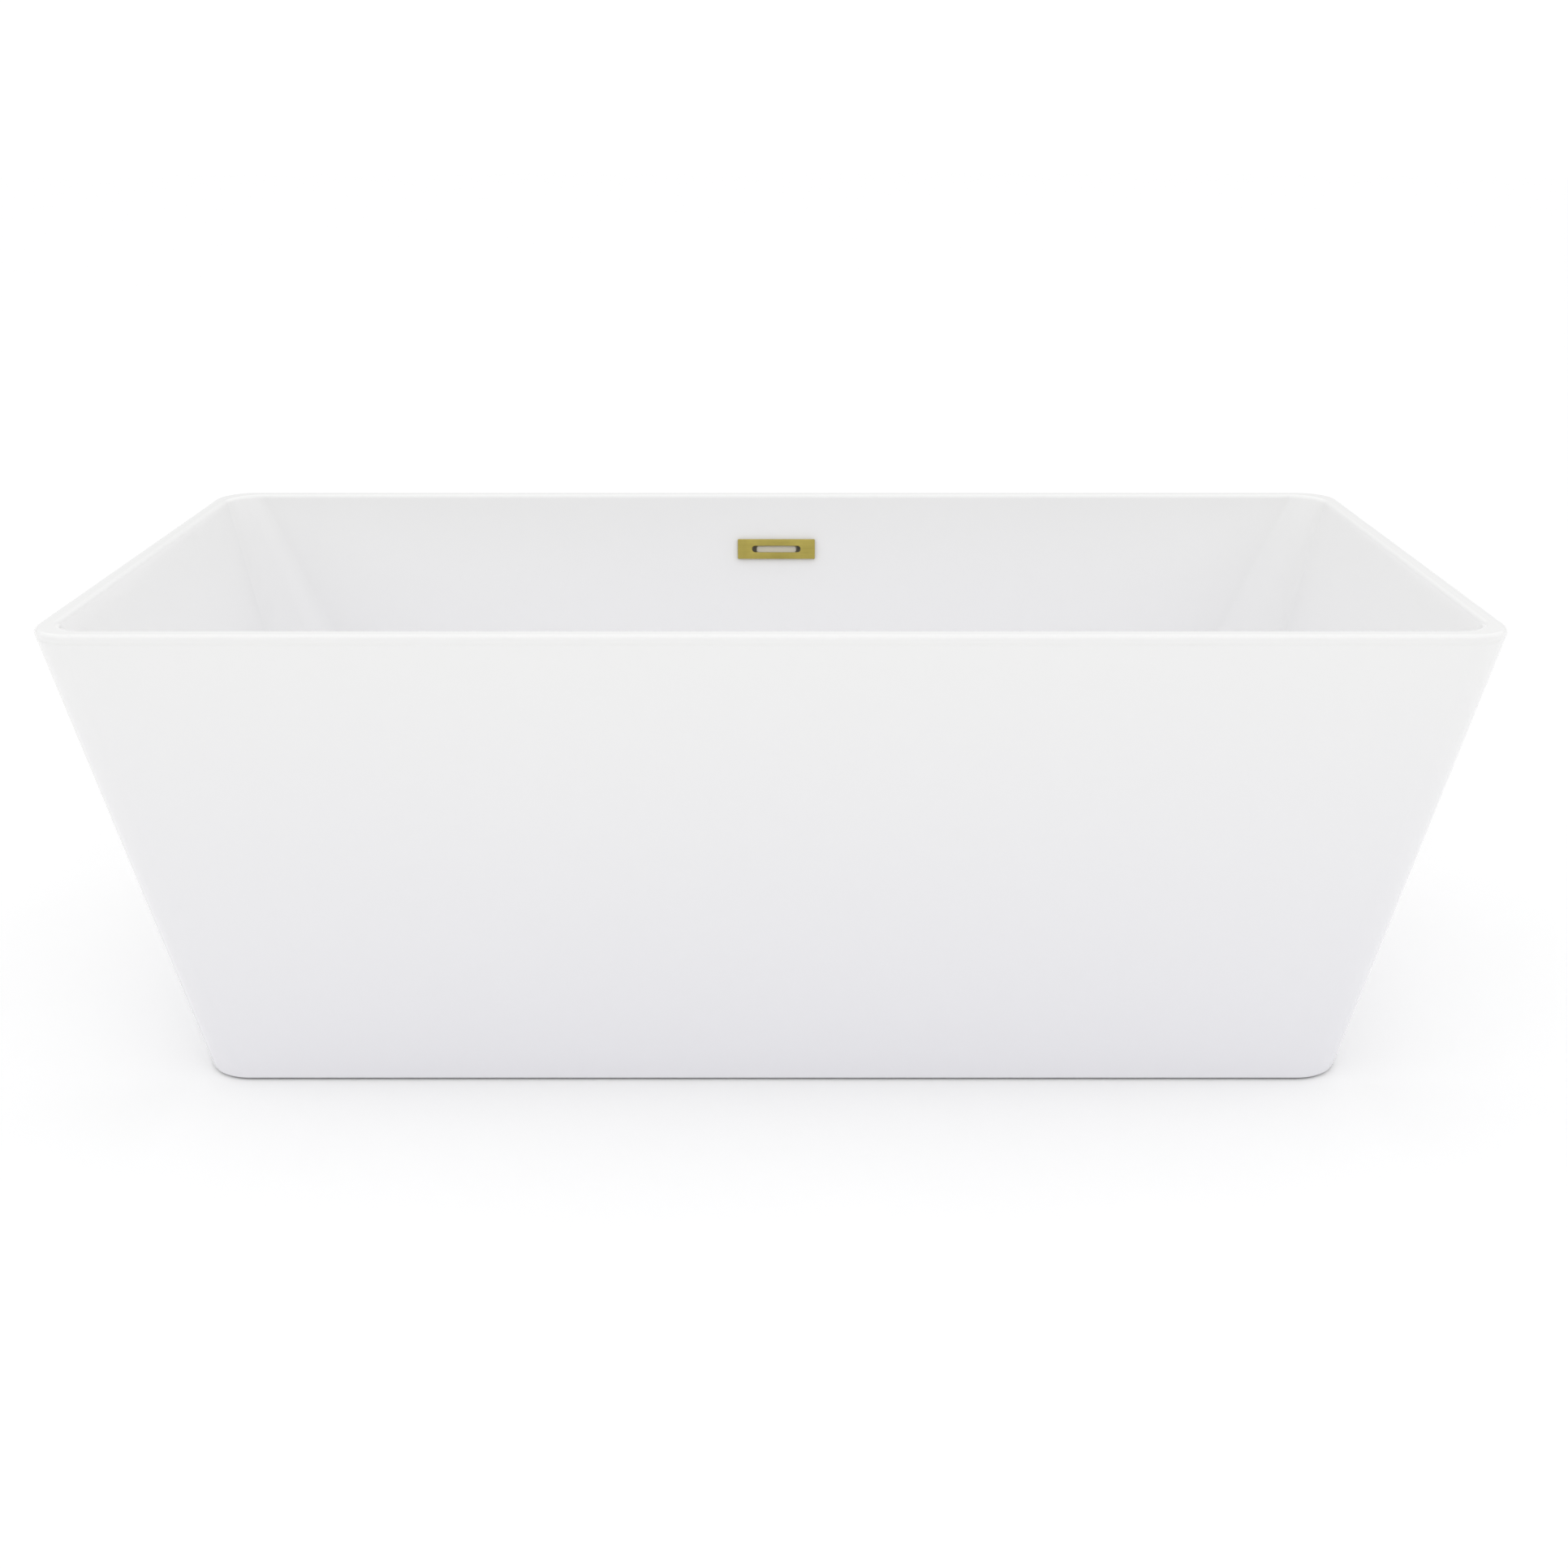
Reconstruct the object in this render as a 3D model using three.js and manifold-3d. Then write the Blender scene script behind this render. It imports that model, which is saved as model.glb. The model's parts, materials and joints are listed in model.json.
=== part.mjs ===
// A freestanding rectangular bathtub: an acrylic basin and an acrylic skirt bonded at the rim, on a
// welded steel frame with four screw feet, with its floor waste and its overflow.
// Millimetres, +Z up, +X along the tub, +Y towards the overflow wall, origin on the floor in the middle.
import * as THREE from 'three';
import { mergeVertices } from 'three/addons/utils/BufferGeometryUtils.js';
import Module from 'manifold-3d';

const wasm = await Module();
wasm.setup();

// Overall size.
const LENGTH = 1700;
const WIDTH = 800;
const HEIGHT = 600;
const GAP = 0.3;                 // between two pieces that touch
const CORNER_STEPS = 7;          // facets on a quarter turn of the tub's corners

// Rim and skirt.
const RIM_WIDTH = 24;
const RIM_EDGE_RADIUS = 6;       // outer edge of the rim
const BASIN_EDGE_RADIUS = 7;     // inner edge of the rim
const END_FLARE = 0.209;         // how far the skirt leans out per millimetre of height, at the ends
const SIDE_FLARE = 0.084;
const TOP_CORNER_RADIUS = 54;
const FOOT_CORNER_RADIUS = 62;
const SKIRT_BOTTOM = 3;
const LIP_BOTTOM = 590;          // lower edge of the basin's turned-down lip
const SKIRT_TOP = 588.4;
const ACRYLIC = 5;
const LAMINATE = 3;
const SKIRT_LAMINATE = 2.5;

// Basin.
const END_SLOPE = 0.34;          // how far a basin wall leans in per millimetre of depth
const SIDE_SLOPE = 0.25;
const FLOOR_Z = 150;
const FLOOR_FILLET = 80;
const BASIN_CORNER_TOP = 46;
const BASIN_CORNER_GROWTH = 0.2; // the corners' radius grows by this per millimetre of depth
const FILLET_STEPS = 5;
const RECESS_DEPTH = 5;
const RECESS_RADIUS = 40;
const WALL_MIDDLE = 400;         // height of a loop halfway down the wall
const LAMINATE_TOP = 562;

// Base board and frame.
const BOARD = { length: 1200, width: 380, thickness: 15, corner: 40, hole: 58 };
const TUBE = 30;                 // square steel tube
const TUBE_WALL = 2;
const END_RAIL_X = 560;
const END_RAIL_HALF = 300;
const SIDE_RAIL_Y = 150;
const MID_RAIL_X = 190;

// Levelling feet.
const FOOT_X = END_RAIL_X;
const FOOT_Y = 240;
const STUD_RADIUS = 6;
const NUT_FLATS = 19;
const NUT_HEIGHT = 11;
const PAD_RADIUS = 25;

// Waste and overflow.
const WASTE_TUBE_RADIUS = 22;
const WASTE_HOLE = WASTE_TUBE_RADIUS + 1.5;
const HOSE_RADIUS = 10.5;
const HOSE_BORE = 8.8;
const HOSE_LOW_Z = 86;           // height of the hose's lower end
const SPIGOT_RADIUS = 8;
const OVERFLOW_Z = 520.5;
const PLATE = { length: 118, height: 30, thickness: 3.8, slot: 74, slotHeight: 9.6 };

const COLOUR = {
  acrylic: { color: 0xf4f4f2, roughness: 0.12, metalness: 0 },
  laminate: { color: 0xcfc9a8, roughness: 0.7, metalness: 0 },
  filler: { color: 0xf1f1ee, roughness: 0.35, metalness: 0 },
  board: { color: 0xb89263, roughness: 0.85, metalness: 0 },
  timber: { color: 0xc9a26b, roughness: 0.8, metalness: 0 },
  steel: { color: 0x55595c, roughness: 0.5, metalness: 0.8 },
  zinc: { color: 0xb9bcc0, roughness: 0.35, metalness: 0.9 },
  rubber: { color: 0x1d1d1f, roughness: 0.9, metalness: 0 },
  brass: { color: 0xa89650, roughness: 0.35, metalness: 1 },
  plastic: { color: 0xe9e6dc, roughness: 0.5, metalness: 0 },
  blackPlastic: { color: 0x2a2b2d, roughness: 0.55, metalness: 0 },
  hose: { color: 0xd9dadb, roughness: 0.6, metalness: 0 },
};

const tub = new THREE.Group();

function addPiece(name, geometry, finish, parent = tub) {
  const mesh = new THREE.Mesh(geometry, new THREE.MeshStandardMaterial(COLOUR[finish]));
  mesh.name = name;
  parent.add(mesh);
  return mesh;
}

// ---- Closed meshes -------------------------------------------------------------------------------

function signedVolume(position, index) {
  const [a, b, c] = [new THREE.Vector3(), new THREE.Vector3(), new THREE.Vector3()];
  let volume = 0;
  for (let i = 0; i < index.length; i += 3) {
    a.fromBufferAttribute(position, index[i]);
    b.fromBufferAttribute(position, index[i + 1]);
    c.fromBufferAttribute(position, index[i + 2]);
    volume += a.dot(b.cross(c)) / 6;
  }
  return volume;
}

// Joins shared vertices, drops triangles that have collapsed and turns the faces outwards.
function closed(geometry) {
  geometry.deleteAttribute('normal');
  geometry.deleteAttribute('uv');
  const merged = mergeVertices(geometry, 1e-3);
  const source = merged.index.array;
  let index = [];
  for (let i = 0; i < source.length; i += 3) {
    const [a, b, c] = [source[i], source[i + 1], source[i + 2]];
    if (a !== b && b !== c && c !== a) index.push(a, b, c);
  }
  if (signedVolume(merged.attributes.position, index) < 0) index = index.reverse();
  merged.setIndex(index);
  return merged;
}

function solidOf(geometry) {
  const vertProperties = new Float32Array(geometry.attributes.position.array);
  const triVerts = new Uint32Array(geometry.index.array);
  return new wasm.Manifold(new wasm.Mesh({ numProp: 3, vertProperties, triVerts }));
}

function geometryOf(solid) {
  const mesh = solid.getMesh();
  const geometry = new THREE.BufferGeometry();
  geometry.setAttribute('position', new THREE.BufferAttribute(new Float32Array(mesh.vertProperties), 3));
  geometry.setIndex([...mesh.triVerts]);
  return geometry;
}

function join(first, ...others) {
  return geometryOf(others.reduce((all, next) => all.add(solidOf(next)), solidOf(first)));
}

function cut(first, ...others) {
  return geometryOf(others.reduce((all, next) => all.subtract(solidOf(next)), solidOf(first)));
}

// ---- Simple shapes -------------------------------------------------------------------------------

function box(sizeX, sizeY, sizeZ, x = 0, y = 0, z = 0) {
  return closed(new THREE.BoxGeometry(sizeX, sizeY, sizeZ).translate(x, y, z));
}

// A profile of [radius, height] points turned about +Z.
function turned(profile, segments = 24) {
  const points = profile.map(([radius, z]) => new THREE.Vector2(radius, z));
  return closed(new THREE.LatheGeometry(points, segments).rotateX(Math.PI / 2));
}

function rod(radius, bottom, top, segments = 24) {
  return turned([[0, bottom], [radius, bottom], [radius, top], [0, top]], segments);
}

function tube(outer, inner, bottom, top, segments = 24) {
  const profile = [[outer, bottom], [outer, top], [inner, top], [inner, bottom], [outer, bottom]];
  return turned(profile, segments);
}

function hexagon(flats, bottom, top, bore) {
  const prism = rod(flats / Math.sqrt(3), bottom, top, 6);
  return bore ? cut(prism, rod(bore, bottom - 1, top + 1, 20)) : prism;
}

function circle(radius, count) {
  return Array.from({ length: count }, (_, i) => {
    const angle = 2 * Math.PI * i / count;
    return new THREE.Vector2(radius * Math.cos(angle), radius * Math.sin(angle));
  });
}

function roundedOutline(length, width, corner, steps = 6) {
  const shape = new THREE.Shape();
  const [x, y] = [length / 2 - corner, width / 2 - corner];
  shape.absarc(x, y, corner, 0, Math.PI / 2);
  shape.absarc(-x, y, corner, Math.PI / 2, Math.PI);
  shape.absarc(-x, -y, corner, Math.PI, Math.PI * 1.5);
  shape.absarc(x, -y, corner, Math.PI * 1.5, Math.PI * 2);
  return new THREE.Shape(shape.extractPoints(steps).shape);
}

// A flat plate with rounded corners that lies in XY, from `bottom` upwards.
function plate(length, width, corner, bottom, thickness, steps = 6) {
  const outline = roundedOutline(length, width, corner, steps);
  const geometry = new THREE.ExtrudeGeometry(outline, { depth: thickness, bevelEnabled: false });
  return closed(geometry.translate(0, 0, bottom));
}

// A plate that stands in XZ and reaches from y = `front` to y = `front` + thickness.
function upright(length, height, corner, front, thickness, steps = 6) {
  return closed(plate(length, height, corner, 0, thickness, steps).rotateX(Math.PI / 2)
    .translate(0, front + thickness, 0));
}

// ---- The tub's rounded rectangular sections ------------------------------------------------------

// One loop of points. The ends stand at x = +-halfLength and height endZ, the sides at
// y = +-halfWidth and height sideZ, and the height turns smoothly from one to the other.
function section({ halfLength, halfWidth, corner, endZ, sideZ }) {
  const points = [];
  for (let quarter = 0; quarter < 4; quarter += 1) {
    for (let step = 0; step <= CORNER_STEPS; step += 1) {
      const angle = (quarter + step / CORNER_STEPS) * Math.PI / 2;
      const middle = (quarter + 0.5) * Math.PI / 2;
      const x = Math.sign(Math.cos(middle)) * (halfLength - corner) + corner * Math.cos(angle);
      const y = Math.sign(Math.sin(middle)) * (halfWidth - corner) + corner * Math.sin(angle);
      const share = Math.cos(angle) ** 2;
      points.push(new THREE.Vector3(x, y, endZ * share + sideZ * (1 - share)));
    }
  }
  return points;
}

// A closed ring-shaped body through its sections, the last joined back to the first.
function loft(sections) {
  const loops = sections.map(section);
  const count = loops[0].length;
  const position = [];
  for (const loop of loops) {
    for (const point of loop) position.push(point.x, point.y, point.z);
  }
  const index = [];
  for (let i = 0; i < loops.length; i += 1) {
    const next = (i + 1) % loops.length;
    for (let k = 0; k < count; k += 1) {
      const side = (k + 1) % count;
      const [a, b] = [i * count + k, i * count + side];
      const [c, d] = [next * count + k, next * count + side];
      index.push(a, b, d, a, d, c);
    }
  }
  const geometry = new THREE.BufferGeometry();
  geometry.setAttribute('position', new THREE.Float32BufferAttribute(position, 3));
  geometry.setIndex(index);
  return closed(geometry);
}

// The straight line of a wall in its cross-section: half-size as a function of height.
// `centre` is the middle of the edge rounding, `side` is +1 for the skirt and -1 for the basin.
function wallLine(centre, radius, slope, side) {
  const angle = Math.atan(slope);
  const [cos, sin] = [Math.cos(angle), Math.sin(angle)];
  const reach = centre.half * cos - centre.z * sin + side * radius;
  return {
    angle, cos, sin, reach,
    at: (z, offset) => (reach + offset + z * sin) / cos,
  };
}

const RIM_CENTRE_Z = HEIGHT - RIM_EDGE_RADIUS;
const BASIN_CENTRE_Z = HEIGHT - BASIN_EDGE_RADIUS;
const rimEnd = { half: LENGTH / 2 - RIM_EDGE_RADIUS, z: RIM_CENTRE_Z };
const rimSide = { half: WIDTH / 2 - RIM_EDGE_RADIUS, z: RIM_CENTRE_Z };
const basinEnd = { half: LENGTH / 2 - RIM_WIDTH + BASIN_EDGE_RADIUS, z: BASIN_CENTRE_Z };
const basinSide = { half: WIDTH / 2 - RIM_WIDTH + BASIN_EDGE_RADIUS, z: BASIN_CENTRE_Z };
const skirtEndLine = wallLine(rimEnd, RIM_EDGE_RADIUS, END_FLARE, 1);
const skirtSideLine = wallLine(rimSide, RIM_EDGE_RADIUS, SIDE_FLARE, 1);
const basinEndLine = wallLine(basinEnd, BASIN_EDGE_RADIUS, END_SLOPE, -1);
const basinSideLine = wallLine(basinSide, BASIN_EDGE_RADIUS, SIDE_SLOPE, -1);

// The skirt's plane at height z, moved inwards by `inset`.
function skirtSection(z, inset) {
  const corner = FOOT_CORNER_RADIUS + (TOP_CORNER_RADIUS - FOOT_CORNER_RADIUS) * z / RIM_CENTRE_Z;
  return {
    halfLength: skirtEndLine.at(z, -inset),
    halfWidth: skirtSideLine.at(z, -inset),
    corner: corner - inset,
    endZ: z,
    sideZ: z,
  };
}

function basinCorner(z) {
  return BASIN_CORNER_TOP + BASIN_CORNER_GROWTH * (BASIN_CENTRE_Z - z);
}

// The basin's wall at height z, moved outwards into the material by `offset`.
function basinSection(z, offset) {
  return {
    halfLength: basinEndLine.at(z, offset),
    halfWidth: basinSideLine.at(z, offset),
    corner: basinCorner(z) + offset,
    endZ: z,
    sideZ: z,
  };
}

// The fillet between wall and floor, from the wall (turn 0) to the floor (turn 1).
function filletSection(turn, offset) {
  const radius = FLOOR_FILLET + offset;
  const z = FLOOR_Z + FLOOR_FILLET;
  const place = (line) => {
    const centre = (line.reach - FLOOR_FILLET + z * line.sin) / line.cos;
    const angle = line.angle + (Math.PI / 2 - line.angle) * turn;
    return { half: centre + radius * Math.cos(angle), z: z - radius * Math.sin(angle), start: centre };
  };
  const end = place(basinEndLine);
  const side = place(basinSideLine);
  const inset = side.start + radius * basinSideLine.cos - side.half;
  const wallFoot = z - radius * basinEndLine.sin;
  return {
    halfLength: end.half,
    halfWidth: side.half,
    corner: basinCorner(wallFoot) + offset - inset,
    endZ: end.z,
    sideZ: side.z,
  };
}

// The rounding between the basin's wall and the rim, from the wall (turn 0) to the rim (turn 1).
function basinEdgeSection(turn, offset) {
  const radius = BASIN_EDGE_RADIUS - offset;
  const place = (centre, line) => {
    const angle = Math.PI - line.angle - (Math.PI / 2 - line.angle) * turn;
    return { half: centre.half + radius * Math.cos(angle), z: centre.z + radius * Math.sin(angle) };
  };
  const end = place(basinEnd, basinEndLine);
  const side = place(basinSide, basinSideLine);
  return {
    halfLength: end.half,
    halfWidth: side.half,
    corner: BASIN_CORNER_TOP + (BASIN_EDGE_RADIUS - offset) * turn + offset,
    endZ: end.z,
    sideZ: side.z,
  };
}

// The rounding between the rim and its outer face, from the rim (turn 0) to the face (turn 1).
function rimEdgeSection(turn, inset) {
  const radius = RIM_EDGE_RADIUS - inset;
  const place = (centre, line) => {
    const angle = Math.PI / 2 - (Math.PI / 2 + line.angle) * turn;
    return { half: centre.half + radius * Math.cos(angle), z: centre.z + radius * Math.sin(angle) };
  };
  const end = place(rimEnd, skirtEndLine);
  const side = place(rimSide, skirtSideLine);
  return {
    halfLength: end.half,
    halfWidth: side.half,
    corner: TOP_CORNER_RADIUS - RIM_EDGE_RADIUS * (1 - turn) - inset * turn,
    endZ: end.z,
    sideZ: side.z,
  };
}

// A round section in the middle of the basin's floor.
function roundSection(radius, z) {
  return { halfLength: radius, halfWidth: radius, corner: radius, endZ: z, sideZ: z };
}

function turns(count, place) {
  return Array.from({ length: count + 1 }, (_, i) => place(i / count));
}


function makeBasin() {
  const upper = [
    roundSection(WASTE_HOLE, FLOOR_Z - RECESS_DEPTH),
    roundSection(RECESS_RADIUS, FLOOR_Z - RECESS_DEPTH),
    roundSection(RECESS_RADIUS + 4, FLOOR_Z),
    ...turns(FILLET_STEPS, (turn) => filletSection(1 - turn, 0)),
    basinSection(WALL_MIDDLE, 0),
    basinSection(LAMINATE_TOP, 0),
    ...turns(3, (turn) => basinEdgeSection(turn, 0)),
    ...turns(4, (turn) => rimEdgeSection(turn, 0)),
    skirtSection(LIP_BOTTOM, 0),
  ];
  const lower = [
    skirtSection(LIP_BOTTOM, ACRYLIC),
    rimEdgeSection(0.2, ACRYLIC),
    ...turns(1, (turn) => basinEdgeSection(1 - turn, ACRYLIC)),
    basinSection(LAMINATE_TOP, ACRYLIC),
    basinSection(WALL_MIDDLE, ACRYLIC),
    ...turns(FILLET_STEPS, (turn) => filletSection(turn, ACRYLIC)),
    roundSection(RECESS_RADIUS + 4 + ACRYLIC, FLOOR_Z - ACRYLIC),
    roundSection(RECESS_RADIUS + ACRYLIC, FLOOR_Z - RECESS_DEPTH - ACRYLIC),
    roundSection(WASTE_HOLE, FLOOR_Z - RECESS_DEPTH - ACRYLIC),
  ];
  return loft([...upper, ...lower]);
}

function makeBacking() {
  const inner = ACRYLIC + GAP;
  const outer = inner + LAMINATE;
  const hole = WASTE_HOLE + 12;
  return loft([
    roundSection(hole, FLOOR_Z - RECESS_DEPTH - inner),
    roundSection(RECESS_RADIUS + inner, FLOOR_Z - RECESS_DEPTH - inner),
    roundSection(RECESS_RADIUS + 4 + inner, FLOOR_Z - inner),
    ...turns(FILLET_STEPS, (turn) => filletSection(1 - turn, inner)),
    basinSection(WALL_MIDDLE, inner),
    basinSection(LAMINATE_TOP, inner),
    basinSection(LAMINATE_TOP, outer),
    basinSection(WALL_MIDDLE, outer),
    ...turns(FILLET_STEPS, (turn) => filletSection(turn, outer)),
    roundSection(RECESS_RADIUS + 4 + outer, FLOOR_Z - outer),
    roundSection(RECESS_RADIUS + outer, FLOOR_Z - RECESS_DEPTH - outer),
    roundSection(hole, FLOOR_Z - RECESS_DEPTH - outer),
  ]);
}

function makeSkirt() {
  return loft([
    skirtSection(SKIRT_BOTTOM, 0),
    skirtSection(SKIRT_TOP, 0),
    skirtSection(SKIRT_TOP, ACRYLIC),
    skirtSection(SKIRT_BOTTOM, ACRYLIC),
  ]);
}

function makeSkirtBacking() {
  const outer = ACRYLIC + GAP;
  const inner = outer + SKIRT_LAMINATE;
  return loft([
    skirtSection(SKIRT_BOTTOM + 9, outer),
    skirtSection(SKIRT_TOP - 30, outer),
    skirtSection(SKIRT_TOP - 30, inner),
    skirtSection(SKIRT_BOTTOM + 9, inner),
  ]);
}

// The bead fills the channel behind the lip, and a thin tongue of it fills the seam flush.
function makeRimSeam() {
  const seam = [SKIRT_TOP + GAP, LIP_BOTTOM - GAP];
  const bead = [SKIRT_TOP - 22, LIP_BOTTOM - GAP];
  const inset = ACRYLIC + GAP;
  const wall = (z) => basinSection(z, ACRYLIC + 2 * GAP);
  return loft([
    skirtSection(seam[0], GAP),
    skirtSection(seam[1], GAP),
    wall(bead[1]),
    wall(bead[0]),
    skirtSection(bead[0], inset),
    skirtSection(seam[0], inset),
  ]);
}

// ---- Board and frame -----------------------------------------------------------------------------

const BOARD_TOP = FLOOR_Z - ACRYLIC - GAP - LAMINATE - GAP;
const RAIL_TOP = BOARD_TOP - BOARD.thickness - GAP;
const RAIL_Z = RAIL_TOP - TUBE / 2;
const RAIL_BOTTOM = RAIL_TOP - TUBE;

function makeBoard() {
  const bottom = BOARD_TOP - BOARD.thickness;
  const board = plate(BOARD.length, BOARD.width, BOARD.corner, bottom, BOARD.thickness);
  return cut(board, rod(BOARD.hole, bottom - 1, BOARD_TOP + 1, 32));
}

// A square tube of the given length along x or y, open at both ends.
function squareTube(length, axis, x, y) {
  const hollow = TUBE - 2 * TUBE_WALL;
  const size = (width, extra) => (axis === 'x' ? [length + extra, width, width] : [width, length + extra, width]);
  return cut(box(...size(TUBE, 0), x, y, RAIL_Z), box(...size(hollow, 2), x, y, RAIL_Z));
}

// An end rail carries a welded M12 nut under each end for the foot's stud.
function makeEndRail(side) {
  const x = side * END_RAIL_X;
  let rail = squareTube(2 * END_RAIL_HALF, 'y', x, 0);
  for (const y of [-FOOT_Y, FOOT_Y]) {
    const nut = hexagon(NUT_FLATS, RAIL_BOTTOM - NUT_HEIGHT, RAIL_BOTTOM + 0.5).translate(x, y, 0);
    const bore = rod(STUD_RADIUS + GAP, RAIL_BOTTOM - NUT_HEIGHT - 1, RAIL_Z, 20).translate(x, y, 0);
    rail = cut(join(rail, nut), bore);
  }
  return rail;
}

function makeFrame() {
  for (const [name, side] of [['left', -1], ['right', 1]]) {
    addPiece(`cross_rail_${name}`, makeEndRail(side), 'steel');
    const between = 2 * SIDE_RAIL_Y - TUBE - 2 * GAP;
    addPiece(`cross_rail_mid_${name}`, squareTube(between, 'y', side * MID_RAIL_X, 0), 'steel');
  }
  for (const [name, side] of [['front', -1], ['rear', 1]]) {
    const length = 2 * END_RAIL_X - TUBE - 2 * GAP;
    addPiece(`frame_rail_${name}`, squareTube(length, 'x', 0, side * SIDE_RAIL_Y), 'steel');
  }
}

// A ribbed plug in the open end of a cross rail.
function makeEndPlug() {
  const insert = TUBE - 2 * TUBE_WALL - 2 * GAP;
  const head = box(TUBE, 3, TUBE, 0, 1.5 + GAP, 0);
  return join(head, box(insert, 14, insert, 0, -6, 0));
}

// A timber block bonded inside the skirt, with its outer face on the skirt's slope.
function makeSkirtBlock() {
  const [bottom, top] = [86, 150];
  const inset = ACRYLIC + SKIRT_LAMINATE + 2 * GAP;
  const inner = skirtSideLine.at(bottom, -inset) - 26;
  const profile = new THREE.Shape([
    new THREE.Vector2(inner, bottom),
    new THREE.Vector2(skirtSideLine.at(bottom, -inset), bottom),
    new THREE.Vector2(skirtSideLine.at(top, -inset), top),
    new THREE.Vector2(inner, top),
  ]);
  const block = new THREE.ExtrudeGeometry(profile, { depth: 90, bevelEnabled: false });
  block.translate(0, 0, -45);
  block.applyMatrix4(new THREE.Matrix4().set(0, 0, 1, 0, 1, 0, 0, 0, 0, 1, 0, 0, 0, 0, 0, 1));
  return closed(block);
}

// A steel angle from under the cross rail to the timber block, with a slot in each leg.
function makeSkirtBracket() {
  const outer = skirtSideLine.at(86, -(ACRYLIC + SKIRT_LAMINATE + 2 * GAP)) - 26 - GAP;
  const [inner, thickness, width] = [262, 3, 40];
  const under = RAIL_BOTTOM - GAP;
  const foot = box(width, outer - inner, thickness, 0, (outer + inner) / 2, under - thickness / 2);
  const leg = box(width, thickness, 56, 0, outer - thickness / 2, under - thickness + 28);
  const railSlot = plate(20, 7, 3.4, under - 10, 20, 2).translate(0, 284, 0);
  const blockSlot = upright(20, 7, 3.4, outer - 10, 20, 2).translate(0, 0, under + 34);
  return cut(join(foot, leg), railSlot, blockSlot);
}

function addSkirtFixings() {
  for (const [row, ySide] of [['front', -1], ['rear', 1]]) {
    for (const [column, xSide] of [['left', -1], ['right', 1]]) {
      const corner = new THREE.Group();
      corner.position.x = xSide * END_RAIL_X;
      corner.rotation.z = ySide > 0 ? 0 : Math.PI;
      tub.add(corner);
      const name = `${row}_${column}`;
      addPiece(`skirt_block_${name}`, makeSkirtBlock(), 'timber', corner);
      addPiece(`skirt_bracket_${name}`, makeSkirtBracket(), 'zinc', corner);
      const plug = addPiece(`rail_plug_${name}`, makeEndPlug(), 'blackPlastic', corner);
      plug.position.set(0, END_RAIL_HALF, RAIL_Z);
    }
  }
}

// ---- Levelling feet ------------------------------------------------------------------------------

const STUD_FOOT = 5.5;
const STUD_TOP = 110;

function makePad() {
  return turned([
    [0, 0], [PAD_RADIUS - 1, 0], [PAD_RADIUS, 1], [PAD_RADIUS, 5], [PAD_RADIUS - 3, 8],
    [11, 12], [10.4, 16], [STUD_RADIUS + GAP, 16], [STUD_RADIUS + GAP, STUD_FOOT - GAP],
    [0, STUD_FOOT - GAP],
  ], 20);
}

function makeStud() {
  const shank = turned([
    [0, STUD_FOOT], [STUD_RADIUS, STUD_FOOT], [STUD_RADIUS, STUD_TOP - 1.5],
    [STUD_RADIUS - 1.5, STUD_TOP], [0, STUD_TOP],
  ], 20);
  return join(shank, hexagon(NUT_FLATS, 16.5, 23));
}

function addFeet() {
  const nutTop = RAIL_BOTTOM - NUT_HEIGHT - GAP;
  for (const [row, ySide] of [['front', -1], ['rear', 1]]) {
    for (const [column, xSide] of [['left', -1], ['right', 1]]) {
      const foot = new THREE.Group();
      foot.position.set(xSide * FOOT_X, ySide * FOOT_Y, 0);
      tub.add(foot);
      const name = `${row}_${column}`;
      addPiece(`foot_pad_${name}`, makePad(), 'blackPlastic', foot);
      addPiece(`foot_stud_${name}`, makeStud(), 'zinc', foot);
      const nut = hexagon(NUT_FLATS, nutTop - NUT_HEIGHT, nutTop, STUD_RADIUS + GAP);
      addPiece(`foot_locknut_${name}`, nut, 'zinc', foot);
    }
  }
}

// ---- Floor waste and stopper ---------------------------------------------------------------------

const RECESS_Z = FLOOR_Z - RECESS_DEPTH;
const FLANGE_BOTTOM = RECESS_Z + GAP + 1.2 + GAP;
const FLANGE_TOP = FLANGE_BOTTOM + 2.6;
const WASTE_TUBE_BOTTOM = 108;
const BARREL_RADIUS = 8.4;
const HUB_Z = 121;

function makeWasteFlange() {
  const r = WASTE_TUBE_RADIUS;
  const body = turned([
    [r, WASTE_TUBE_BOTTOM], [r, FLANGE_BOTTOM], [36, FLANGE_BOTTOM], [36, FLANGE_TOP - 1],
    [34, FLANGE_TOP], [27, FLANGE_TOP], [19, FLANGE_TOP - 3.5], [19, WASTE_TUBE_BOTTOM],
    [r, WASTE_TUBE_BOTTOM],
  ], 24);
  const spoke = box(2 * r - 3, 4, 6, 0, 0, HUB_Z);
  const crossSpoke = box(4, 2 * r - 3, 6, 0, 0, HUB_Z);
  const hub = rod(BARREL_RADIUS + 3, HUB_Z - 3, HUB_Z + 3);
  return cut(join(body, spoke, crossSpoke, hub), rod(BARREL_RADIUS + GAP, HUB_Z - 9, HUB_Z + 9));
}

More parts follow.
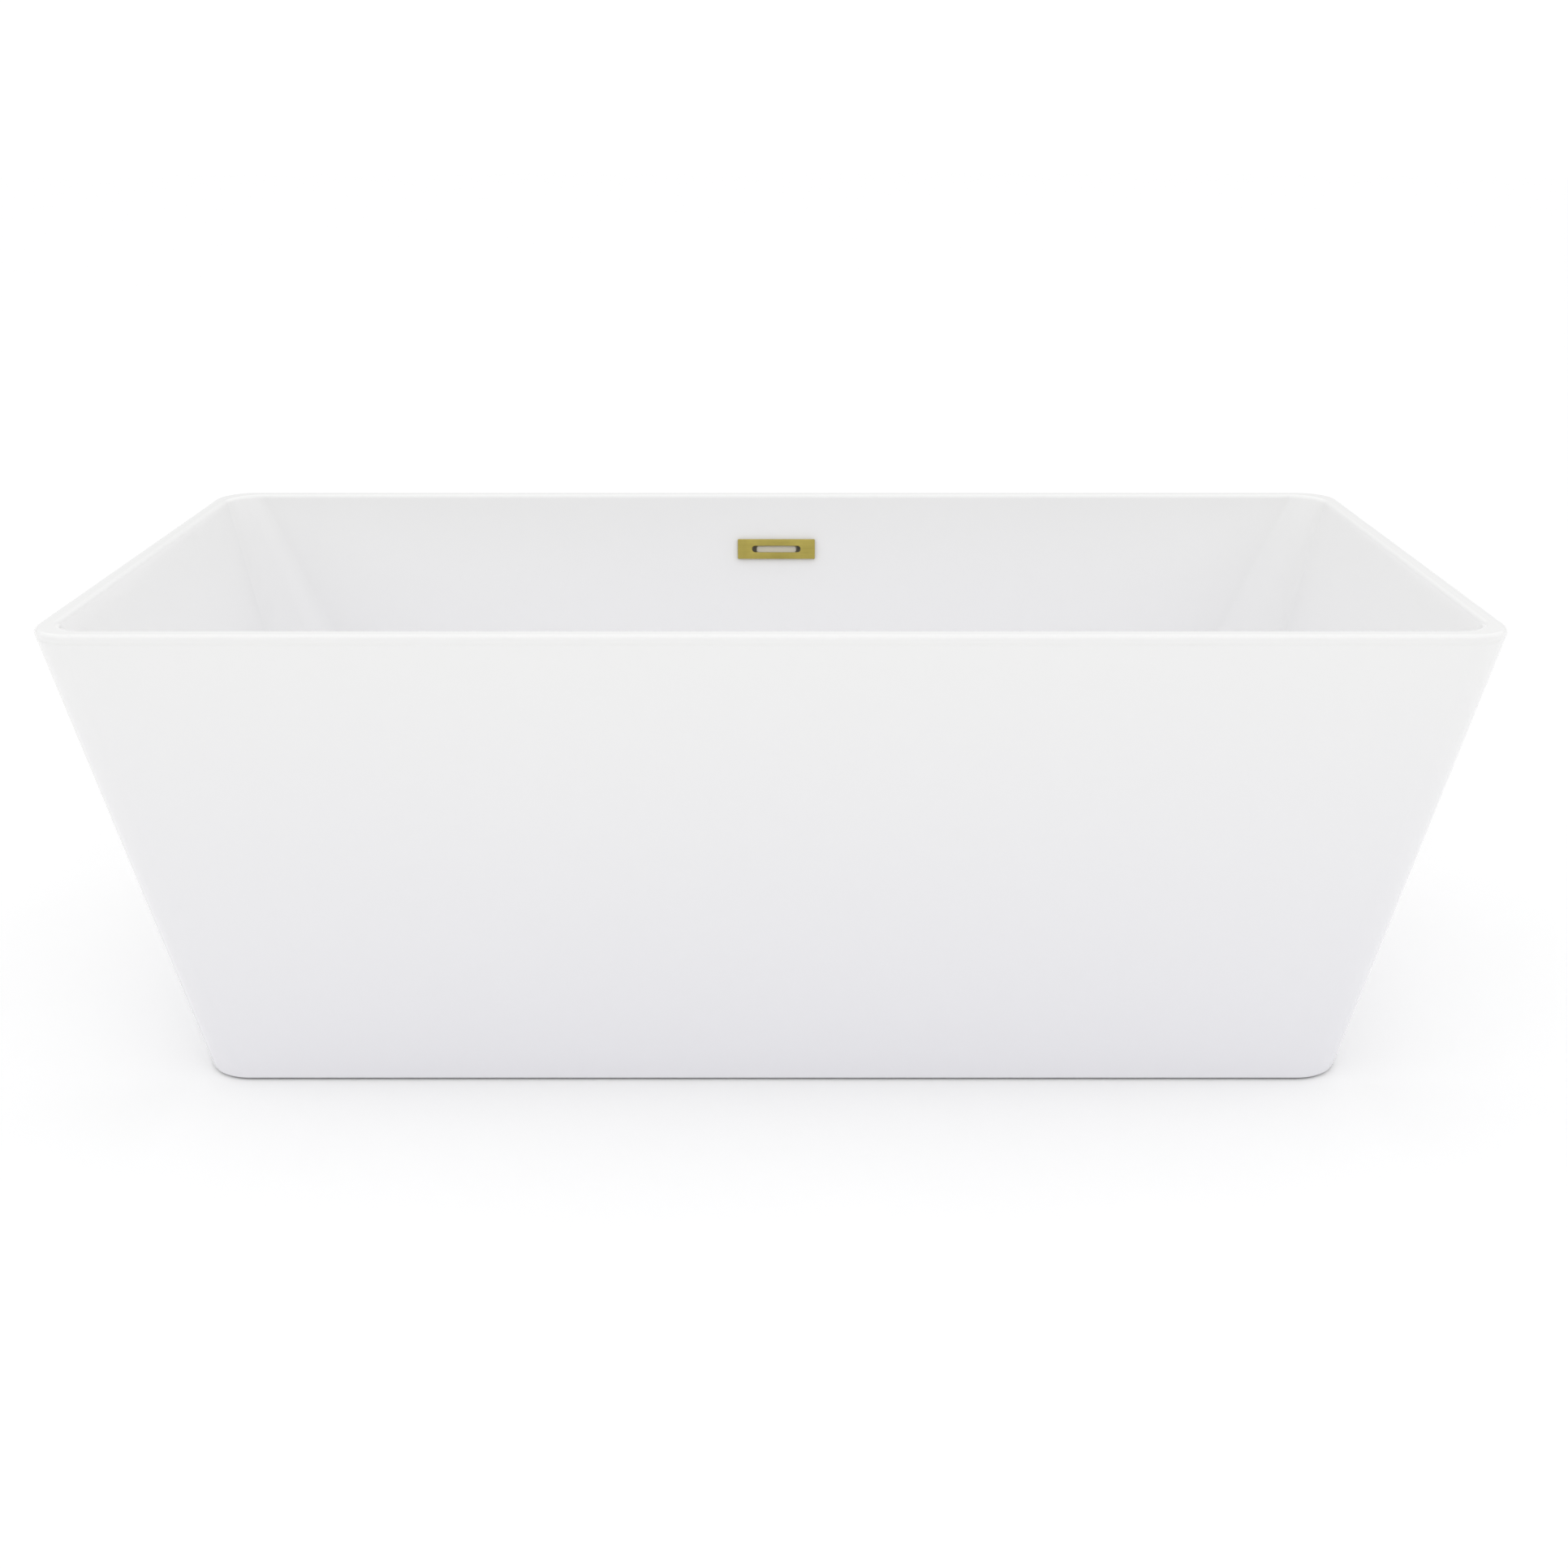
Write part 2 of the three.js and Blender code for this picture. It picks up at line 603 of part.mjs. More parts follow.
function addWaste() {
  const washerTop = RECESS_Z - ACRYLIC - GAP;
  addPiece('waste_flange', makeWasteFlange(), 'brass');
  addPiece('waste_gasket_upper', tube(34, 24.5, RECESS_Z + GAP, FLANGE_BOTTOM - GAP), 'rubber');
  addPiece('waste_gasket_lower', tube(34, 22.8, washerTop - 3, washerTop), 'rubber');
  const nutTop = washerTop - 3 - GAP;
  addPiece('waste_back_nut', hexagon(62, nutTop - 9, nutTop, WASTE_TUBE_RADIUS + 0.6), 'brass');
  addPiece('waste_body', makeWasteBody(nutTop - 9 - GAP), 'plastic');
  addPiece('waste_slip_washer', tube(22.6, 19.4, 51.4, 57.6), 'rubber');
  addPiece('waste_slip_nut', makeSlipNut(), 'blackPlastic');
  addPiece('waste_tailpiece', tube(19, 17.2, 18, 70), 'plastic');
}

// The cup under the floor: it screws onto the waste tube, takes the overflow hose at the side and
// ends in the outlet collar.
function makeWasteBody(top) {
  const shell = turned([
    [23, 58], [23, 70], [28, 76], [28, top], [WASTE_TUBE_RADIUS + 0.5, top],
    [WASTE_TUBE_RADIUS + 0.5, 78], [19.4, 72], [19.4, 58], [23, 58],
  ], 24);
  const spigot = closed(rod(SPIGOT_RADIUS, 24, 66, 20).rotateX(-Math.PI / 2).translate(0, 0, HOSE_LOW_Z));
  const bore = closed(rod(SPIGOT_RADIUS - 2, 10, 70, 20).rotateX(-Math.PI / 2).translate(0, 0, HOSE_LOW_Z));
  return cut(join(shell, spigot), bore);
}

function makeSlipNut() {
  const nut = turned([
    [28, 46], [28, 66], [23.4, 66], [23.4, 51], [19.5, 51], [19.5, 46], [28, 46],
  ], 24);
  const grips = [0, 1, 2, 3, 4, 5].map((i) => {
    const grip = box(6, 8, 16, 27.6, 0, 56);
    return closed(grip.rotateZ(i * Math.PI / 3));
  });
  return join(nut, ...grips);
}

const STEM_RADIUS = 2.6;
const BARREL_BOTTOM = 96;
const BARREL_TOP = 144;
const SPRING_BOTTOM = BARREL_BOTTOM + 3 + GAP;
const COLLAR_BOTTOM = 130;

function addStopper() {
  const sealBottom = FLANGE_TOP + GAP;
  const capBottom = sealBottom + 1.8;
  addPiece('stopper_seal', tube(29, 20, sealBottom, capBottom - GAP), 'rubber');
  addPiece('stopper_cap', makeStopperCap(capBottom), 'brass');
  const stem = turned([
    [0, 108], [STEM_RADIUS, 108], [STEM_RADIUS, COLLAR_BOTTOM], [5.4, COLLAR_BOTTOM],
    [5.4, COLLAR_BOTTOM + 4], [STEM_RADIUS, COLLAR_BOTTOM + 4], [STEM_RADIUS, capBottom - GAP],
    [0, capBottom - GAP],
  ], 16);
  addPiece('stopper_stem', stem, 'zinc');
  const barrel = turned([
    [0, BARREL_BOTTOM], [BARREL_RADIUS, BARREL_BOTTOM], [BARREL_RADIUS, BARREL_TOP],
    [6, BARREL_TOP], [6, BARREL_BOTTOM + 3], [0, BARREL_BOTTOM + 3],
  ], 24);
  addPiece('stopper_barrel', barrel, 'plastic');
  addPiece('stopper_spring', makeSpring(), 'zinc');
}

function makeStopperCap(bottom) {
  return turned([
    [0, bottom], [30, bottom], [31, bottom + 1], [31, bottom + 3], [29.5, bottom + 4.4],
    [16, bottom + 5.2], [0, bottom + 5.4],
  ], 28);
}

// A compression spring as one wire along a helix.
class Helix extends THREE.Curve {
  constructor(radius, bottom, top, coils) {
    super();
    Object.assign(this, { radius, bottom, top, coils });
  }

  getPoint(share, target = new THREE.Vector3()) {
    const angle = share * this.coils * 2 * Math.PI;
    const z = this.bottom + (this.top - this.bottom) * share;
    return target.set(this.radius * Math.cos(angle), this.radius * Math.sin(angle), z);
  }
}

function makeSpring() {
  const wire = 0.55;
  const coils = 5;
  const path = new Helix(4.4, SPRING_BOTTOM + wire, COLLAR_BOTTOM - GAP - wire, coils);
  const outline = new THREE.Shape(circle(wire, 5));
  return closed(new THREE.ExtrudeGeometry(outline, { steps: coils * 9, extrudePath: path }));
}

// ---- Overflow ------------------------------------------------------------------------------------

const wallAngle = basinSideLine.angle;
const overflow = new THREE.Group();
overflow.position.set(0, basinSideLine.at(OVERFLOW_Z, 0), OVERFLOW_Z);
overflow.rotation.x = -wallAngle;
tub.add(overflow);

const BODY_FRONT = ACRYLIC + LAMINATE + 2 * GAP;
const OUTLET_Y = BODY_FRONT + 12.6;
const OUTLET_BOTTOM = -58;

// The stadium hole through the basin's wall and its laminate.
function wallHole() {
  const hole = upright(90, 20, 9.9, -30, 60, 6);
  return closed(hole.rotateX(-wallAngle).translate(0, overflow.position.y, OVERFLOW_Z));
}

// The chamber behind the wall. Its front is open to the hole, and its outlet points down.
function makeOverflowBody() {
  const [depth, neckTop] = [12, -12.5];
  const shell = upright(104, 34, 8, BODY_FRONT, depth, 4);
  const shank = closed(rod(SPIGOT_RADIUS, OUTLET_BOTTOM, neckTop - 4, 20).translate(0, OUTLET_Y, 0));
  const neck = closed(rod(SPIGOT_RADIUS + 1, neckTop - 16, neckTop, 20).translate(0, OUTLET_Y, 0));
  const hollow = upright(92, 24, 8, BODY_FRONT - 1, depth - 1, 4);
  const bore = closed(rod(SPIGOT_RADIUS - 2, OUTLET_BOTTOM - 1, neckTop - 2.5, 20).translate(0, OUTLET_Y, 0));
  const throat = box(10, 5, 9, 0, OUTLET_Y - 5, neckTop - 1.5);
  return cut(join(shell, neck, shank), hollow, bore, throat);
}

function makeOverflowPlate() {
  const front = -GAP - 0.9 - GAP - PLATE.thickness;
  const face = upright(PLATE.length, PLATE.height, 1.5, front, PLATE.thickness, 3);
  const slot = upright(PLATE.slot, PLATE.slotHeight, PLATE.slotHeight / 2 - 0.01, front - 1, 9, 8);
  return cut(face, slot);
}

function makeOverflowGasket() {
  const ring = upright(110, 26, 6, -GAP - 0.9, 0.9, 4);
  return cut(ring, upright(84, 16, 7.9, -5, 9, 6));
}

// The hose runs down behind the basin's wall, under the board and the rear rail, to the waste.
function hosePath() {
  const top = new THREE.Vector3(0, OUTLET_Y, OUTLET_BOTTOM + 26);
  const below = new THREE.Vector3(0, OUTLET_Y, OUTLET_BOTTOM);
  overflow.updateMatrixWorld();
  overflow.localToWorld(top);
  overflow.localToWorld(below);
  return new THREE.CatmullRomCurve3([
    top,
    below,
    new THREE.Vector3(0, 346, 380),
    new THREE.Vector3(0, 330, 290),
    new THREE.Vector3(0, 300, 190),
    new THREE.Vector3(0, 254, 122),
    new THREE.Vector3(0, 190, 85),
    new THREE.Vector3(0, 120, HOSE_LOW_Z - 5),
    new THREE.Vector3(0, 66, HOSE_LOW_Z),
    new THREE.Vector3(0, 44, HOSE_LOW_Z),
  ], false, 'centripetal');
}

function makeHose() {
  const ring = new THREE.Shape(circle(HOSE_RADIUS, 10));
  ring.holes.push(new THREE.Path(circle(HOSE_BORE, 10)));
  return closed(new THREE.ExtrudeGeometry(ring, { steps: 26, extrudePath: hosePath() }));
}

// A worm-drive clip: a band, its screw housing and the screw's head.
function makeHoseClip() {
  const band = tube(HOSE_RADIUS + 1.2, HOSE_RADIUS + GAP, -4, 4, 24);
  const housing = box(5.5, 9, 8.6, HOSE_RADIUS + 3.6, 0, 0);
  const head = closed(hexagon(7, 4, 8).rotateX(-Math.PI / 2).translate(HOSE_RADIUS + 3.8, 0, 0));
  return join(band, housing, head);
}

function addOverflow() {
  addPiece('overflow_plate', makeOverflowPlate(), 'brass', overflow);
  addPiece('overflow_gasket', makeOverflowGasket(), 'rubber', overflow);
  addPiece('overflow_body', makeOverflowBody(), 'plastic', overflow);
  addPiece('overflow_hose', makeHose(), 'hose');
  const upper = addPiece('hose_clip_upper', makeHoseClip(), 'zinc', overflow);
  upper.position.set(0, OUTLET_Y, OUTLET_BOTTOM + 14);
  const lower = addPiece('hose_clip_lower', makeHoseClip(), 'zinc');
  lower.rotation.x = -Math.PI / 2;
  lower.position.set(0, 56, HOSE_LOW_Z);
}

// ---- Assembly ------------------------------------------------------------------------------------

addPiece('basin', cut(makeBasin(), wallHole()), 'acrylic');
addPiece('basin_backing', cut(makeBacking(), wallHole()), 'laminate');
addPiece('skirt', makeSkirt(), 'acrylic');
addPiece('skirt_backing', makeSkirtBacking(), 'laminate');
addPiece('rim_seam', makeRimSeam(), 'filler');
addPiece('base_board', makeBoard(), 'board');
makeFrame();
addSkirtFixings();
addFeet();
addWaste();
addStopper();
addOverflow();

export default tub;
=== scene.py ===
"""A freestanding acrylic bathtub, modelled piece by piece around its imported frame.

Laid out as a Blender add-on and run as a script. Lengths are in metres, +Z up, +X along the tub,
+Y towards the wall that holds the overflow.
"""

import json
import math

import bmesh
import bpy
from mathutils import Matrix, Vector
from mathutils.geometry import interpolate_bezier

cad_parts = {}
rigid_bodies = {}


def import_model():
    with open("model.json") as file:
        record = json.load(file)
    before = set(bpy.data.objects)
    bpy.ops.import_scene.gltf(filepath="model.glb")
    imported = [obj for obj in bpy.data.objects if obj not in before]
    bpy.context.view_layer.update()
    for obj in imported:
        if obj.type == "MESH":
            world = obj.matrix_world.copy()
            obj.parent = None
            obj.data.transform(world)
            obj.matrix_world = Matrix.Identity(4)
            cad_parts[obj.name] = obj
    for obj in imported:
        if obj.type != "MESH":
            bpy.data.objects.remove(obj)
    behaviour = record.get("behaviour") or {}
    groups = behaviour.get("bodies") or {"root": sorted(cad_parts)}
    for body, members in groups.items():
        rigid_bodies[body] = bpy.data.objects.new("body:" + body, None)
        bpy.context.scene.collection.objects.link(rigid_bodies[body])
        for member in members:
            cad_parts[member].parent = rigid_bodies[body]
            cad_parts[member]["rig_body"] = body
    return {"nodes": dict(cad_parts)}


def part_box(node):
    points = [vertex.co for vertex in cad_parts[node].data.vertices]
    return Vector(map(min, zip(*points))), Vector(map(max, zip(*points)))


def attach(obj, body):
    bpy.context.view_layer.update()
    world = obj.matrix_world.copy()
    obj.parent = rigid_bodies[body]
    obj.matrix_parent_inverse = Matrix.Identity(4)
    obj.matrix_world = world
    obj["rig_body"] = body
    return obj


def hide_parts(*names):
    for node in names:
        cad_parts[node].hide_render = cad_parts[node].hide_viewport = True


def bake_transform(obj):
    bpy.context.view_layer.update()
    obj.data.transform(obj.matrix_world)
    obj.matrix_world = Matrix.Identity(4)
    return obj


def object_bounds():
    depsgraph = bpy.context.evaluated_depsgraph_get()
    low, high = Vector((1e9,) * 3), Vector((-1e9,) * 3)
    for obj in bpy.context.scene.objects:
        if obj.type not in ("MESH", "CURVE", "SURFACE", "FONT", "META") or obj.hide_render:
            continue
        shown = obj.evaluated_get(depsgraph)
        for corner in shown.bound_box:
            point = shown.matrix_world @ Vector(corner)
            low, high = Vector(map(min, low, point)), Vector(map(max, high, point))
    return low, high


bl_info = {
    "name": "Freestanding bathtub",
    "version": (1, 0, 0),
    "blender": (4, 5, 0),
    "location": "3D View > Sidebar > Bathtub",
    "description": "Models and finishes a freestanding acrylic bathtub on its frame",
    "category": "Add Mesh",
}

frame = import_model()
CAD_LOW, CAD_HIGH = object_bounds()

MM = 0.001
SKIRT_LAMINATE = 2.5 * MM
LOOP = "loop"
CORNERS = {
    "front_left": (-1, -1),
    "front_right": (1, -1),
    "rear_left": (-1, 1),
    "rear_right": (1, 1),
}


# ---- Settings ------------------------------------------------------------------------------------


def linear(hex_colour):
    """An sRGB hex colour as linear red, green and blue."""
    parts = [int(hex_colour[i : i + 2], 16) / 255 for i in (1, 3, 5)]
    return tuple(c / 12.92 if c <= 0.04045 else ((c + 0.055) / 1.055) ** 2.4 for c in parts)


def length(name, description, default):
    return bpy.props.FloatProperty(
        name=name, description=description, default=default, precision=4, unit="LENGTH"
    )


def ratio(name, description, default):
    return bpy.props.FloatProperty(name=name, description=description, default=default)


def angle(name, description, default):
    return bpy.props.FloatProperty(
        name=name, description=description, default=math.radians(default), unit="ROTATION"
    )


def tint(name, description, default):
    return bpy.props.FloatVectorProperty(
        name=name,
        description=description,
        default=linear(default),
        subtype="COLOR",
        min=0,
        max=1,
    )


class TubSizes(bpy.types.PropertyGroup):
    """The sizes that shape the basin, the skirt and what hangs on them."""

    length: length("Length", "Over the rim, from end to end", round(CAD_HIGH.x - CAD_LOW.x, 3))
    width: length("Width", "Over the rim, from front to back", round(CAD_HIGH.y - CAD_LOW.y, 3))
    height: length("Height", "From the floor to the rim", round(CAD_HIGH.z, 3))
    rim_width: length("Rim width", "Width of the rim with its roundings", 24 * MM)
    rim_edge: length("Outer edge radius", "Rounding of the rim's outer edge", 6 * MM)
    basin_edge: length("Inner edge radius", "Rounding of the rim's inner edge", 7 * MM)
    end_flare: ratio("End flare", "How far the ends lean out for each metre of height", 0.209)
    side_flare: ratio("Side flare", "How far the sides lean out for each metre of height", 0.084)
    top_corner: length("Corner radius at the rim", "Outer corners, seen from above", 54 * MM)
    foot_corner: length("Corner radius at the floor", "Outer corners, seen from above", 62 * MM)
    end_slope: ratio("Inner end slope", "How far the inner ends lean in per metre of depth", 0.34)
    side_slope: ratio("Inner side slope", "How far the inner sides lean in per metre", 0.25)
    floor_z: length("Basin floor", "Height of the basin's floor above the ground", 150 * MM)
    fillet: length("Floor fillet", "Rounding between the basin's walls and its floor", 80 * MM)
    basin_corner: length("Inner corner radius", "Inner corners at the rim", 46 * MM)
    corner_growth: ratio("Corner growth", "How the inner corners open per metre of depth", 0.2)
    acrylic: length("Sheet thickness", "Thickness of the acrylic", 5 * MM)
    laminate: length("Laminate thickness", "Glass fibre behind the basin", 3 * MM)
    gap: length("Gap", "Gap between two layers", 0.3 * MM)
    lip_bottom: length("Lip", "Height of the lower edge of the turned-down rim", 590 * MM)
    seam: length("Seam", "Height of the filled seam under the lip", 1.6 * MM)
    skirt_bottom: length("Skirt bottom", "Height of the skirt's lower edge", 3 * MM)
    overflow_z: length("Overflow", "Height of the middle of the overflow plate", 520.5 * MM)
    tube: length("Frame tube", "Side of the frame's square steel tube", 30 * MM)


class TubFinish(bpy.types.PropertyGroup):
    """The colours of the finishes."""

    acrylic: tint("Acrylic", "Glossy white sanitary acrylic", "#F5F5F4")
    brass: tint("Brass", "Brushed brass of the overflow and the waste", "#BAAB5C")
    zinc: tint("Zinc", "Bright zinc plate on studs, nuts and brackets", "#C3C7CC")
    frame_paint: tint("Frame", "Powder coat on the steel frame", "#4A4E52")
    rubber: tint("Rubber", "EPDM washers and seals", "#1C1C1D")
    polyamide: tint("Polyamide", "Black moulded feet and plugs", "#242527")
    abs_plastic: tint("ABS", "Off-white moulded waste fittings", "#EFE9DB")
    hose: tint("Hose", "Pale grey flexible PVC", "#CFD1D3")
    laminate: tint("Laminate", "Resin and chopped glass fibre", "#CFC9A8")
    chipboard: tint("Chipboard", "Pressed wood chips", "#B89263")
    softwood: tint("Softwood", "Planed spruce blocks", "#CFA973")


class TubStage(bpy.types.PropertyGroup):
    """The camera and the light."""

    distance: length("Camera distance", "From the tub's middle, along the floor", 2.385)
    camera_height: length("Camera height", "Above the floor", 1.169)
    sideways: length("Camera sideways", "To the right of the tub's middle", 0.025)
    tilt: angle("Tilt", "How far the camera looks down", 20.65)
    lens: ratio("Lens", "Focal length in millimetres on a 36 mm sensor", 41.83)
    shift: ratio("Shift", "Sideways lens shift, as a share of the frame's width", -0.0055)
    surround: ratio("Surround", "Brightness of the white studio around the tub", 1.07)
    floor: tint("Floor", "Seamless studio floor", "#FEFEFE")


# ---- Modelling by hand ---------------------------------------------------------------------------


def activate(piece):
    bpy.ops.object.select_all(action="DESELECT")
    piece.select_set(True)
    bpy.context.view_layer.objects.active = piece


def start(name):
    """A new piece in edit mode at the origin, with one vertex there."""
    bpy.ops.object.select_all(action="DESELECT")
    bpy.ops.mesh.primitive_circle_add(vertices=3, radius=MM)
    piece = bpy.context.active_object
    piece.name = piece.data.name = name
    bpy.ops.object.mode_set(mode="EDIT")
    bpy.ops.mesh.merge(type="CENTER")
    return piece


def leave(piece):
    """Out of edit mode, with doubles merged and the faces turned outwards."""
    bpy.ops.mesh.select_all(action="SELECT")
    bpy.ops.mesh.remove_doubles(threshold=0.01 * MM)
    bpy.ops.mesh.normals_make_consistent(inside=False)
    bpy.ops.object.mode_set(mode="OBJECT")
    return piece


def pick(piece, loop, test=lambda vertex: True):
    """In edit mode, selects the vertices of a numbered loop that pass the test."""
    mesh = bmesh.from_edit_mesh(piece.data)
    number = mesh.verts.layers.int[LOOP]
    bpy.ops.mesh.select_all(action="DESELECT")
    for vertex in mesh.verts:
        vertex.select = vertex[number] == loop and test(vertex)
    mesh.select_flush(True)
    bmesh.update_edit_mesh(piece.data)


def stack(name, loops, count, turn=0.0, ring=False):
    """A closed piece through level loops of (half length, half width, corner radius, height).

    The first loop is a circle whose quarters are moved apart. Each next loop is extruded from the
    one before, and each of its quarters is resized and moved. A ring ends on its first loop and is
    merged with it. Otherwise the first and the last loop are filled.
    """
    piece = start(name)
    bpy.ops.mesh.delete(type="VERT")
    bmesh.from_edit_mesh(piece.data).verts.layers.int.new(LOOP)
    corner, z = loops[0][2:]
    bpy.ops.mesh.primitive_circle_add(
        vertices=count, radius=corner, location=(0, 0, z), rotation=(0, 0, turn)
    )
    before = (corner, corner, corner, z)
    for order, loop in enumerate([*loops, loops[0]] if ring else loops):
        if order:
            rise = (0, 0, loop[3] - before[3])
            bpy.ops.mesh.extrude_edges_move(TRANSFORM_OT_translate={"value": rise})
        mesh = bmesh.from_edit_mesh(piece.data)
        number = mesh.verts.layers.int[LOOP]
        for vertex in mesh.verts:
            if vertex.select:
                vertex[number] = order
        for side_x, side_y in CORNERS.values():
            reshape_quarter(piece, order, (side_x, side_y), before, loop)
        pick(piece, order)
        before = loop
    if not ring:
        for end in (0, len(loops) - 1):
            pick(piece, end)
            bpy.ops.mesh.edge_face_add()
    leave(piece)
    piece.data.attributes.remove(piece.data.attributes[LOOP])
    return piece


def reshape_quarter(piece, order, side, before, loop):
    """Gives one quarter of a loop its new corner radius and its new place."""
    centres = [
        Vector((side[0] * (half_x - corner), side[1] * (half_y - corner), loop[3]))
        for half_x, half_y, corner, _ in (before, loop)
    ]
    growth = loop[2] / before[2]
    pick(piece, order, lambda vertex: vertex.co.x * side[0] > 0 < vertex.co.y * side[1])
    if abs(growth - 1) > 1e-7:
        bpy.ops.transform.resize(value=(growth, growth, 1), center_override=centres[0])
    if (centres[1] - centres[0]).length > 1e-8:
        bpy.ops.transform.translate(value=centres[1] - centres[0])


def loft(name, loops, steps=8, ring=False):
    """A stack of rounded rectangles, with so many steps on each quarter turn."""
    return stack(name, loops, 4 * steps, math.pi / (4 * steps), ring)


def hexagon(name, flats, heights, bore=0.0):
    """A hexagonal body with chamfered ends, and a hole if it has a bore."""
    corner = flats / math.sqrt(3)
    bottom, top = heights
    chamfer = corner - flats / 2
    body = stack(name, [(corner, corner, corner, z) for z in heights], 6)
    cone = turned(
        "cone",
        [
            (0, bottom),
            (flats / 2, bottom),
            (corner * 1.01, bottom + chamfer * 0.58),
            (corner * 1.01, top - chamfer * 0.58),
            (flats / 2, top),
            (0, top),
        ],
    )
    combine(body, cone, "INTERSECT")
    if bore:
        low, high = bottom - MM, top + MM
        combine(body, turned("bore", [(0, low), (bore, low), (bore, high), (0, high)]))
    return body


def chain(name, points):
    """A piece in edit mode that is one line of edges through the points."""
    piece = start(name)
    bpy.ops.transform.translate(value=points[0])
    for before, after in zip(points, points[1:]):
        step = Vector(after) - Vector(before)
        bpy.ops.mesh.extrude_vertices_move(TRANSFORM_OT_translate={"value": step})
    return piece


def turned(name, points, steps=40):
    """A profile of (radius, height) points spun about the vertical axis."""
    piece = chain(name, [(radius, 0, z) for radius, z in points])
    bpy.ops.mesh.select_all(action="SELECT")
    bpy.ops.mesh.spin(steps=steps, angle=math.tau, center=(0, 0, 0), axis=(0, 0, 1))
    return leave(piece)


def spun(name, outline, steps=48):
    """A turned piece from an outline in millimetres."""
    return turned(name, [(r * MM, z * MM) for r, z in outline], steps)


def washer(name, outer, inner, bottom, top, steps=40):
    points = [(outer, bottom), (outer, top), (inner, top), (inner, bottom), (outer, bottom)]
    return turned(name, points, steps)


def apply(piece, kind, **settings):
    """Puts a modifier on a piece and applies it."""
    activate(piece)
    modifier = piece.modifiers.new(kind.title(), kind)
    for name, value in settings.items():
        setattr(modifier, name, value)
    bpy.ops.object.modifier_apply(modifier=modifier.name)
    return piece


def combine(piece, tool, operation="DIFFERENCE"):
    """Cuts a piece with a tool, or joins the tool to it, and removes the tool."""
    apply(piece, "BOOLEAN", operation=operation, object=tool, solver="MANIFOLD")
    bpy.data.objects.remove(tool)
    return piece


def cut_off(z, side):
    """In edit mode, removes what is above a level, or below it for side -1, and closes the cut."""
    bpy.ops.mesh.select_all(action="SELECT")
    bpy.ops.mesh.bisect(
        plane_co=(0, 0, z), plane_no=(0, 0, side), use_fill=True, clear_outer=True
    )


def round_edges(piece, width, segments=2, sharper_than=35):
    return apply(
        piece,
        "BEVEL",
        width=width,
        segments=segments,
        limit_method="ANGLE",
        angle_limit=math.radians(sharper_than),
        use_clamp_overlap=True,
    )


def place(piece, location=(0, 0, 0), rotation=(0, 0, 0)):
    """Turns a piece and moves it, and puts its place into its mesh."""
    activate(piece)
    piece.rotation_euler = rotation
    piece.location = location
    bpy.ops.object.transform_apply(location=True, rotation=True, scale=True)
    return piece


def duplicate(piece, name):
    activate(piece)
    bpy.ops.object.duplicate(linked=False)
    twin = bpy.context.active_object
    twin.name = twin.data.name = name
    return twin


def merge(piece, *others):
    """Joins other pieces into this one."""
    activate(piece)
    for other in others:
        other.select_set(True)
    bpy.ops.object.join()
    return piece


def shade(piece, degrees=30):
    """Smooth shading up to an angle, weighted so that flat faces stay flat."""
    activate(piece)
    bpy.ops.object.shade_smooth_by_angle(angle=math.radians(degrees))
    return apply(piece, "WEIGHTED_NORMAL", keep_sharp=True, weight=60)


# ---- The tub's sections --------------------------------------------------------------------------


class Wall:
    """A wall in cross-section: a straight line that meets the rounding of its top edge."""

    def __init__(self, half, z, radius, slope, side):
        self.half, self.z, self.radius, self.side = half, z, radius, side
        lean = math.atan(slope)
        self.lean, self.cos, self.sin = lean, math.cos(lean), math.sin(lean)
        self.reach = half * self.cos - z * self.sin + side * radius

    def line(self, z, offset=0.0):
        """Half the distance between the two walls at a height, moved outwards by the offset."""
        return (self.reach + offset + z * self.sin) / self.cos

    def edge(self, z, offset=0.0):
        """As line, with the rounding of the top edge."""
        radius = self.radius + self.side * offset
        if z <= self.z - self.side * radius * self.sin:
            return self.line(z, offset)
        return self.half + self.side * math.sqrt(max(radius**2 - (z - self.z) ** 2, 0))


